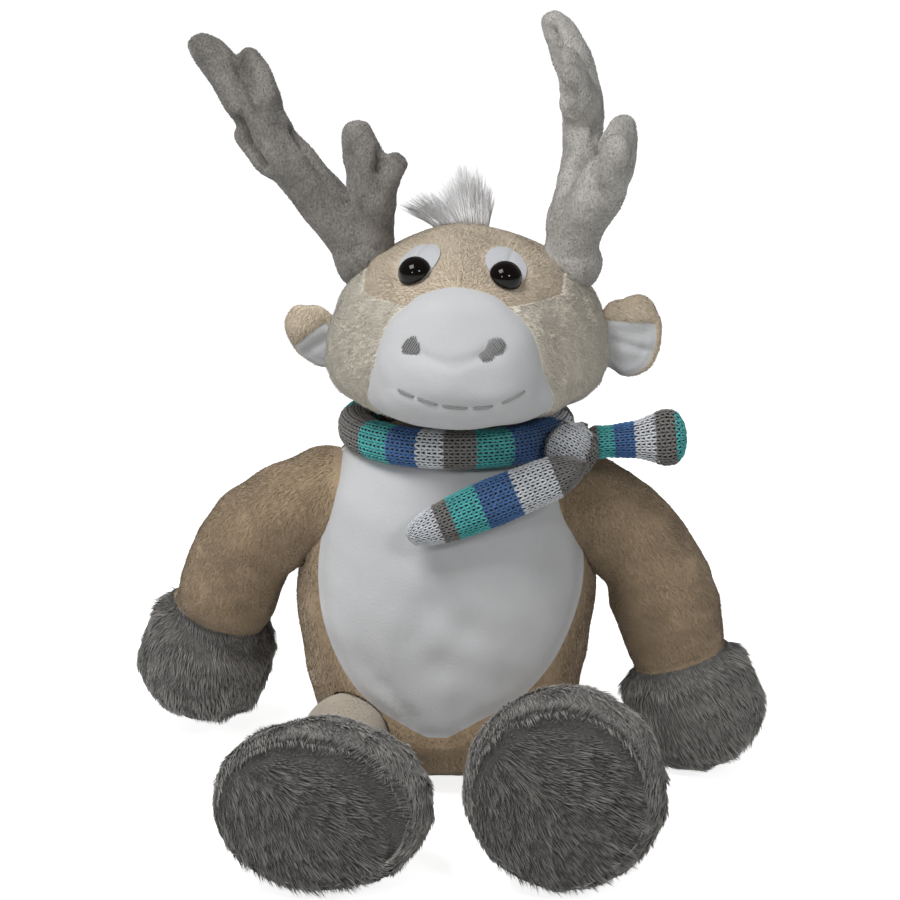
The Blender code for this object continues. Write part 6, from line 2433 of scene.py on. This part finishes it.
@dataclass
class Leg:
    """A leg: a short beige leg on a round root, and a long-pile foot whose sole faces forward."""

    side: Side
    out: float
    ovals: Row
    turn: float
    length: float = 0.055
    radius: float = 0.0148
    hip_radius: float = 0.0172
    foot_length: float = 0.046
    foot_radius: float = 0.033
    pitch: float = 6
    crown: float = 0.0055
    seam_shift: float = 0.0
    sides: int = 96
    # Shares of the way to the ankle and of the radius
    shares: tuple[Row, ...] = ((0.42, 0.82), (0.75, 0.93))
    # Shares of the foot's length and of its radius
    foot_shares: tuple[Row, ...] = (
        (0.0, 0.94), (0.14, 1.0), (0.34, 1.04), (0.56, 0.99), (0.76, 0.86), (0.92, 0.67), (1.0, 0.5)
    )
    # Shares of the sole's half-width and of its crown
    sole_shares: tuple[Row, ...] = ((0.5, 0.8), (0.85, 0.35), (1.0, 0.0))

    def hip(self, torso: Torso) -> Points:
        """The middle of the round root."""
        out, inset, up = torso.hip
        return np.array([self.side.value * out, inset - torso.depth / 2, up])

    def halves(self, wide: float) -> tuple[float, float]:
        """Half-width and half-height of a ring of the foot."""
        return wide * self.foot_radius * self.ovals[0], wide * self.foot_radius * self.ovals[1]

    def ring(self, frame: Points, along: float, wide: float, sides: int) -> Points:
        """A ring of the foot, from its lowest point, at a place back from the sole."""
        across, up = self.halves(wide)
        return placed(oval((0, along, 0), (0, 0, -up), (-across, 0, 0), sides), frame)

    def foot_frame(self, torso: Torso) -> Points:
        """The sole's middle, seen from the hip, with Y towards the heel.

        Args:
            torso: The torso that it is sewn to.

        Returns:
            The frame.
        """
        pitch, root = math.radians(self.pitch), self.hip(torso)
        low = max(
            self.halves(wide)[1] * math.cos(pitch) + along * self.foot_length * math.sin(pitch)
            for along, wide in self.foot_shares
        )
        sole = (self.side.value * self.out - root[0], -self.length - self.foot_length, 0.0008 + low - root[2])
        return moving(*sole) @ turning("Z", self.turn) @ turning("X", -self.pitch)

    def sole_seam(self, points: Points) -> Points:
        """Distance from the sole's seam in the foot's own space, below zero inside it.

        Args:
            points: Points, one row each.

        Returns:
            A distance for each point.
        """
        across, up = self.halves(0.96)
        out = np.hypot((points[:, 0] - self.seam_shift) / across, (points[:, 2] + 0.0065) / up)
        return (out - 1) * up

    def leg(self, foot: Points) -> tuple[Skin, Points]:
        """The leg from its round root to the foot.

        Args:
            foot: The foot's frame, seen from the hip.

        Returns:
            The surface and its way.
        """
        sides = self.sides
        ankle = placed(np.array([[0, self.foot_length, 0]]), foot)[0]
        way = unit(ankle)
        across = unit(np.cross((0.0, 0.0, 1.0), way))
        up = np.cross(way, across)
        rows = [pole(way * -self.hip_radius, sides)]
        for degrees in (-50, -10, 25):
            half = self.hip_radius * math.cos(math.radians(degrees))
            rows.append(
                oval(way * self.hip_radius * math.sin(math.radians(degrees)), up * -half, across * -half, sides)
            )
        for along, wide in self.shares:
            rows.append(oval(ankle * along, up * -wide * self.radius, across * -wide * self.radius, sides))
        rows.append(self.ring(foot, self.foot_length + 0.0003, self.foot_shares[-1][1], sides))
        made = Skin.over(smooth(rows, 0.002))
        lumps = ripple(made.points, 0.02, 81 + self.side.value)
        return made.pushed(0.0004 * lumps * np.clip(made.points @ way / 0.01, 0, 1)), way

    def upper(self, foot: Points) -> Skin:
        """The foot behind its sole.

        Args:
            foot: The foot's frame, seen from the hip.

        Returns:
            The surface.
        """
        rows = [self.ring(foot, along * self.foot_length, wide, self.sides) for along, wide in self.foot_shares]
        made = Skin.over(smooth(rows, 0.002))
        p = placed(made.points, np.linalg.inv(foot))
        lumps = ripple(made.points, 0.025, 83 + self.side.value)
        return made.pushed(0.0005 * lumps - 0.0008 - 0.001 * dip(p[:, 1], 0.0025))

    def sole(self, foot: Points) -> tuple[Skin, Points]:
        """The sole, round its sewn-in seam.

        Args:
            foot: The foot's frame, seen from the hip.

        Returns:
            The surface, and the distance of its points from the seam.
        """
        rows = [pole(placed(np.array([[0, -0.0003 - self.crown, 0]]), foot)[0], self.sides)]
        rows += [self.ring(foot, -0.0003 - self.crown * c, 0.94 * share, self.sides) for share, c in self.sole_shares]
        made = Skin.over(smooth(rows, 0.002))
        seam = self.sole_seam(placed(made.points, np.linalg.inv(foot)))
        return made.pushed(-0.001 - 0.0014 * dip(seam, 0.0022) + 0.0007 * np.clip(-seam / 0.01, 0, 1)), seam

    def build(self, room: Workroom, torso: Torso) -> None:
        """Makes the leg, the foot, the sole and their pile.

        Args:
            room: Makes and joins the pieces.
            torso: The torso that it is sewn to.
        """
        hinge, foot = moving(*self.hip(torso)), self.foot_frame(torso)
        leg, way = self.leg(foot)
        upper = self.upper(foot)
        sole, seam = self.sole(foot)
        word, body = self.side.word, f"leg_{self.side.word}"
        forward = -foot[:3, 1]
        room.cover(leg.placed(hinge), f"leg_{word}_cover", "leg_plush", body, Slot.BEIGE, (f"leg_{word}",), 0.7)
        room.cover(
            upper.placed(hinge), f"foot_{word}_cover", "grey_plush", body, Slot.GREY, (f"foot_{word}_upper",), 0.7
        )
        room.cover(sole.placed(hinge), f"sole_{word}_cover", "sole_plush", body, Slot.GREY, (f"foot_{word}_sole",), 0.6)
        shown = np.clip((leg.points @ way - 0.002) / 0.003, 0, 1)
        room.coat(
            leg.placed(hinge), f"leg_{word}_pile", replace(CROWN_COAT, finish="leg_pile", density=1.5), body,
            Slot.BEIGE, forward, cover=shown,
        )
        room.coat(upper.placed(hinge), f"foot_{word}_pile", FOOT_COAT, body, Slot.GREY, unit(forward + (0.5, 0, -0.6)))
        toe = np.array([0.8, 0, -0.6]) + 0.5 * unit((sole.points - foot[:3, 3]) * (1, 0, 1))
        band = unit(sole.points - foot[:3, 3]) + (0.5, 0, 0)
        comb = unit(np.where(seam[:, None] < 0, toe, band))
        short = 1 - 0.6 * dip(seam, 0.003)
        room.coat(sole.placed(hinge), f"sole_{word}_pile", SOLE_COAT, body, Slot.GREY, comb, short)


# Inside


@dataclass
class Filling:
    """What fills the covers, from the frame's own shapes softened and made lumpy."""

    voxel: float = 0.0018
    inset: float = -0.0021
    insets: dict[str, float] = field(default_factory=lambda: {"arm_left": -0.004, "arm_right": -0.004})
    # Node, name, finish, slot, body and how tightly it is stuffed
    bodies: tuple[tuple[str, str, str, Slot, str, float], ...] = (
        ("torso_stuffing", "torso_filling", "fibre_fill", Slot.FILL, "torso", 0.8),
        ("pellet_bag", "pellet_pouch", "pellet_cloth", Slot.PELLETS, "torso", 0.6),
        ("neck_plug", "neck_filling", "beige_plush", Slot.FILL, "neck", 0.9),
        ("head_stuffing", "head_filling", "fibre_fill", Slot.FILL, "head", 0.85),
        ("arm_stuffing_left", "arm_left_filling", "fibre_fill", Slot.FILL, "arm_left", 0.6),
        ("arm_stuffing_right", "arm_right_filling", "fibre_fill", Slot.FILL, "arm_right", 0.6),
        ("leg_stuffing_left", "leg_left_filling", "fibre_fill", Slot.FILL, "leg_left", 0.7),
        ("leg_stuffing_right", "leg_right_filling", "fibre_fill", Slot.FILL, "leg_right", 0.7),
    )

    def build(self, room: Workroom, torso: Torso) -> None:
        """Makes each filling, and gives the eye washers their plastic."""
        for node, name, finish, slot, body, fill in self.bodies:
            source = frame["nodes"][node]
            points = np.array([tuple(source.matrix_world @ v.co) for v in source.data.vertices])
            places, index = np.unique(np.round(points, 6), axis=0, return_inverse=True)
            index = index.ravel()
            faces = [tuple(dict.fromkeys(int(index[i]) for i in face.vertices)) for face in source.data.polygons]
            form = rounded(Skin(places, [face for face in faces if len(face) > 2]), self.voxel, 3)
            form = form.pushed(self.insets.get(body, self.inset) + 0.0002 * ripple(form.points, 0.01, 91))
            if body == "torso":
                form.points[:, 2] += torso.tuck(form.points)
            room.solid(form, name, finish, body, (node,))
        for side in Side:
            for place in frame["nodes"][f"eye_washer_{side.word}"].material_slots:
                place.material = room.finishes["washer_plastic"]


# Studio


@dataclass
class Studio:
    """The white ground, the lamps and the camera."""

    ground: float = 8.0
    camera_place: Row = (0.0011, -1.1591, 0.4356)
    camera_tilt: float = 75
    lens: float = 128
    glow: float = 0.84
    sky: float = 0.24
    aim: Row = (0, 0, 0.13)
    lamps: tuple[tuple[str, Row, float, float], ...] = (
        ("top_lamp", (-0.45, -0.5, 1.15), 0.5, 10.2),
        ("front_lamp", (-0.55, -1.4, 0.75), 0.2, 2.4),
        ("side_lamp", (0.75, -1.3, 0.95), 0.25, 4.4),
    )
    lamp_turn: float = 45

    def lamp(self, name: str, place: Row, size: float, power: float) -> None:
        """A soft square lamp that points at the deer.

        Args:
            name: Its name.
            place: Where it stands.
            size: How wide it is.
            power: Its power in watts.
        """
        light = bpy.data.lights.new(name, "AREA")
        light.size, light.energy = size, power
        made = linked(name, light)
        made.location = place
        aim = (Vector(self.aim) - Vector(place)).to_track_quat("-Z", "Y")
        made.rotation_euler = aim.to_euler()
        made.rotation_euler.rotate_axis("Z", math.radians(self.lamp_turn))

    def build(self) -> None:
        """Makes the ground, the world, the lamps and the camera."""
        g = self.ground
        made, w, shader = fresh("ground_paper")
        path = w.add("ShaderNodeLightPath").outputs
        seen = w.add("ShaderNodeMath", path["Is Camera Ray"], path["Is Glossy Ray"], operation="MAXIMUM")
        seen = w.add("ShaderNodeMath", seen.outputs[0], path["Is Transmission Ray"], operation="MAXIMUM")
        glow = w.maths("MULTIPLY", seen.outputs[0], self.glow)
        settle(w, shader, {"Base Color": (0.8, 0.8, 0.8, 1), "Roughness": 1.0, "Specular IOR Level": 0.0})
        settle(w, shader, {"Emission Color": (1, 1, 1, 1), "Emission Strength": glow})
        corners = np.array([(-g, -g, 0), (g, -g, 0), (g, g, 0), (-g, g, 0)])
        Skin(corners, [(0, 1, 2, 3)]).build("ground", made)
        world = bpy.data.worlds.new("soft_sky")
        world.use_nodes = True
        w = Weaver(world.node_tree)
        path = w.add("ShaderNodeLightPath").outputs
        strength = w.add("ShaderNodeMix", path["Is Camera Ray"], None, self.sky, 1.0)
        sky = world.node_tree.nodes["Background"]
        settle(w, sky, {"Strength": strength.outputs[0], "Color": (1, 1, 1, 1)})
        bpy.context.scene.world = world
        for values in self.lamps:
            self.lamp(*values)
        camera = bpy.data.cameras.new("photo_camera")
        camera.lens, camera.sensor_width = self.lens, 36
        made = linked("photo_camera", camera)
        made.location = self.camera_place
        made.rotation_euler = (math.radians(self.camera_tilt), 0, 0)
        bpy.context.scene.camera = made
        bpy.context.scene.view_settings.view_transform = "Standard"


def main() -> None:
    """Dresses the whole deer."""
    logging.basicConfig(level=logging.INFO, format="%(message)s")
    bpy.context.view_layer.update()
    room = Workroom()
    torso, head = Torso(), Head()
    torso.build(room)
    tree = head.build(room)
    Face(head, tree).build(room)
    Ear(Side.LEFT, -30, droop=32, fold=(0.1, -0.1), squeeze=0.86).build(room, head)
    Ear(Side.RIGHT, 0).build(room, head)
    Antler(Side.LEFT, LEFT_STEMS, 0.8, LEFT_GROOVES).build(room, head)
    Antler(Side.RIGHT, RIGHT_STEMS, 1.15, RIGHT_GROOVES).build(room, head)
    Hair().build(room, head)
    Scarf().build(room)
    Arm(Side.LEFT, 0.0305, 26).build(room, torso)
    Arm(Side.RIGHT, 0.0312, 0, hoof_length=0.0415).build(room, torso)
    Leg(Side.LEFT, 0.0465, (1.13, 0.87), -14, seam_shift=-0.006).build(room, torso)
    Leg(Side.RIGHT, 0.0385, (1.03, 1.035), -9).build(room, torso)
    Filling().build(room, torso)
    Studio().build()


if __name__ == "__main__":
    main()
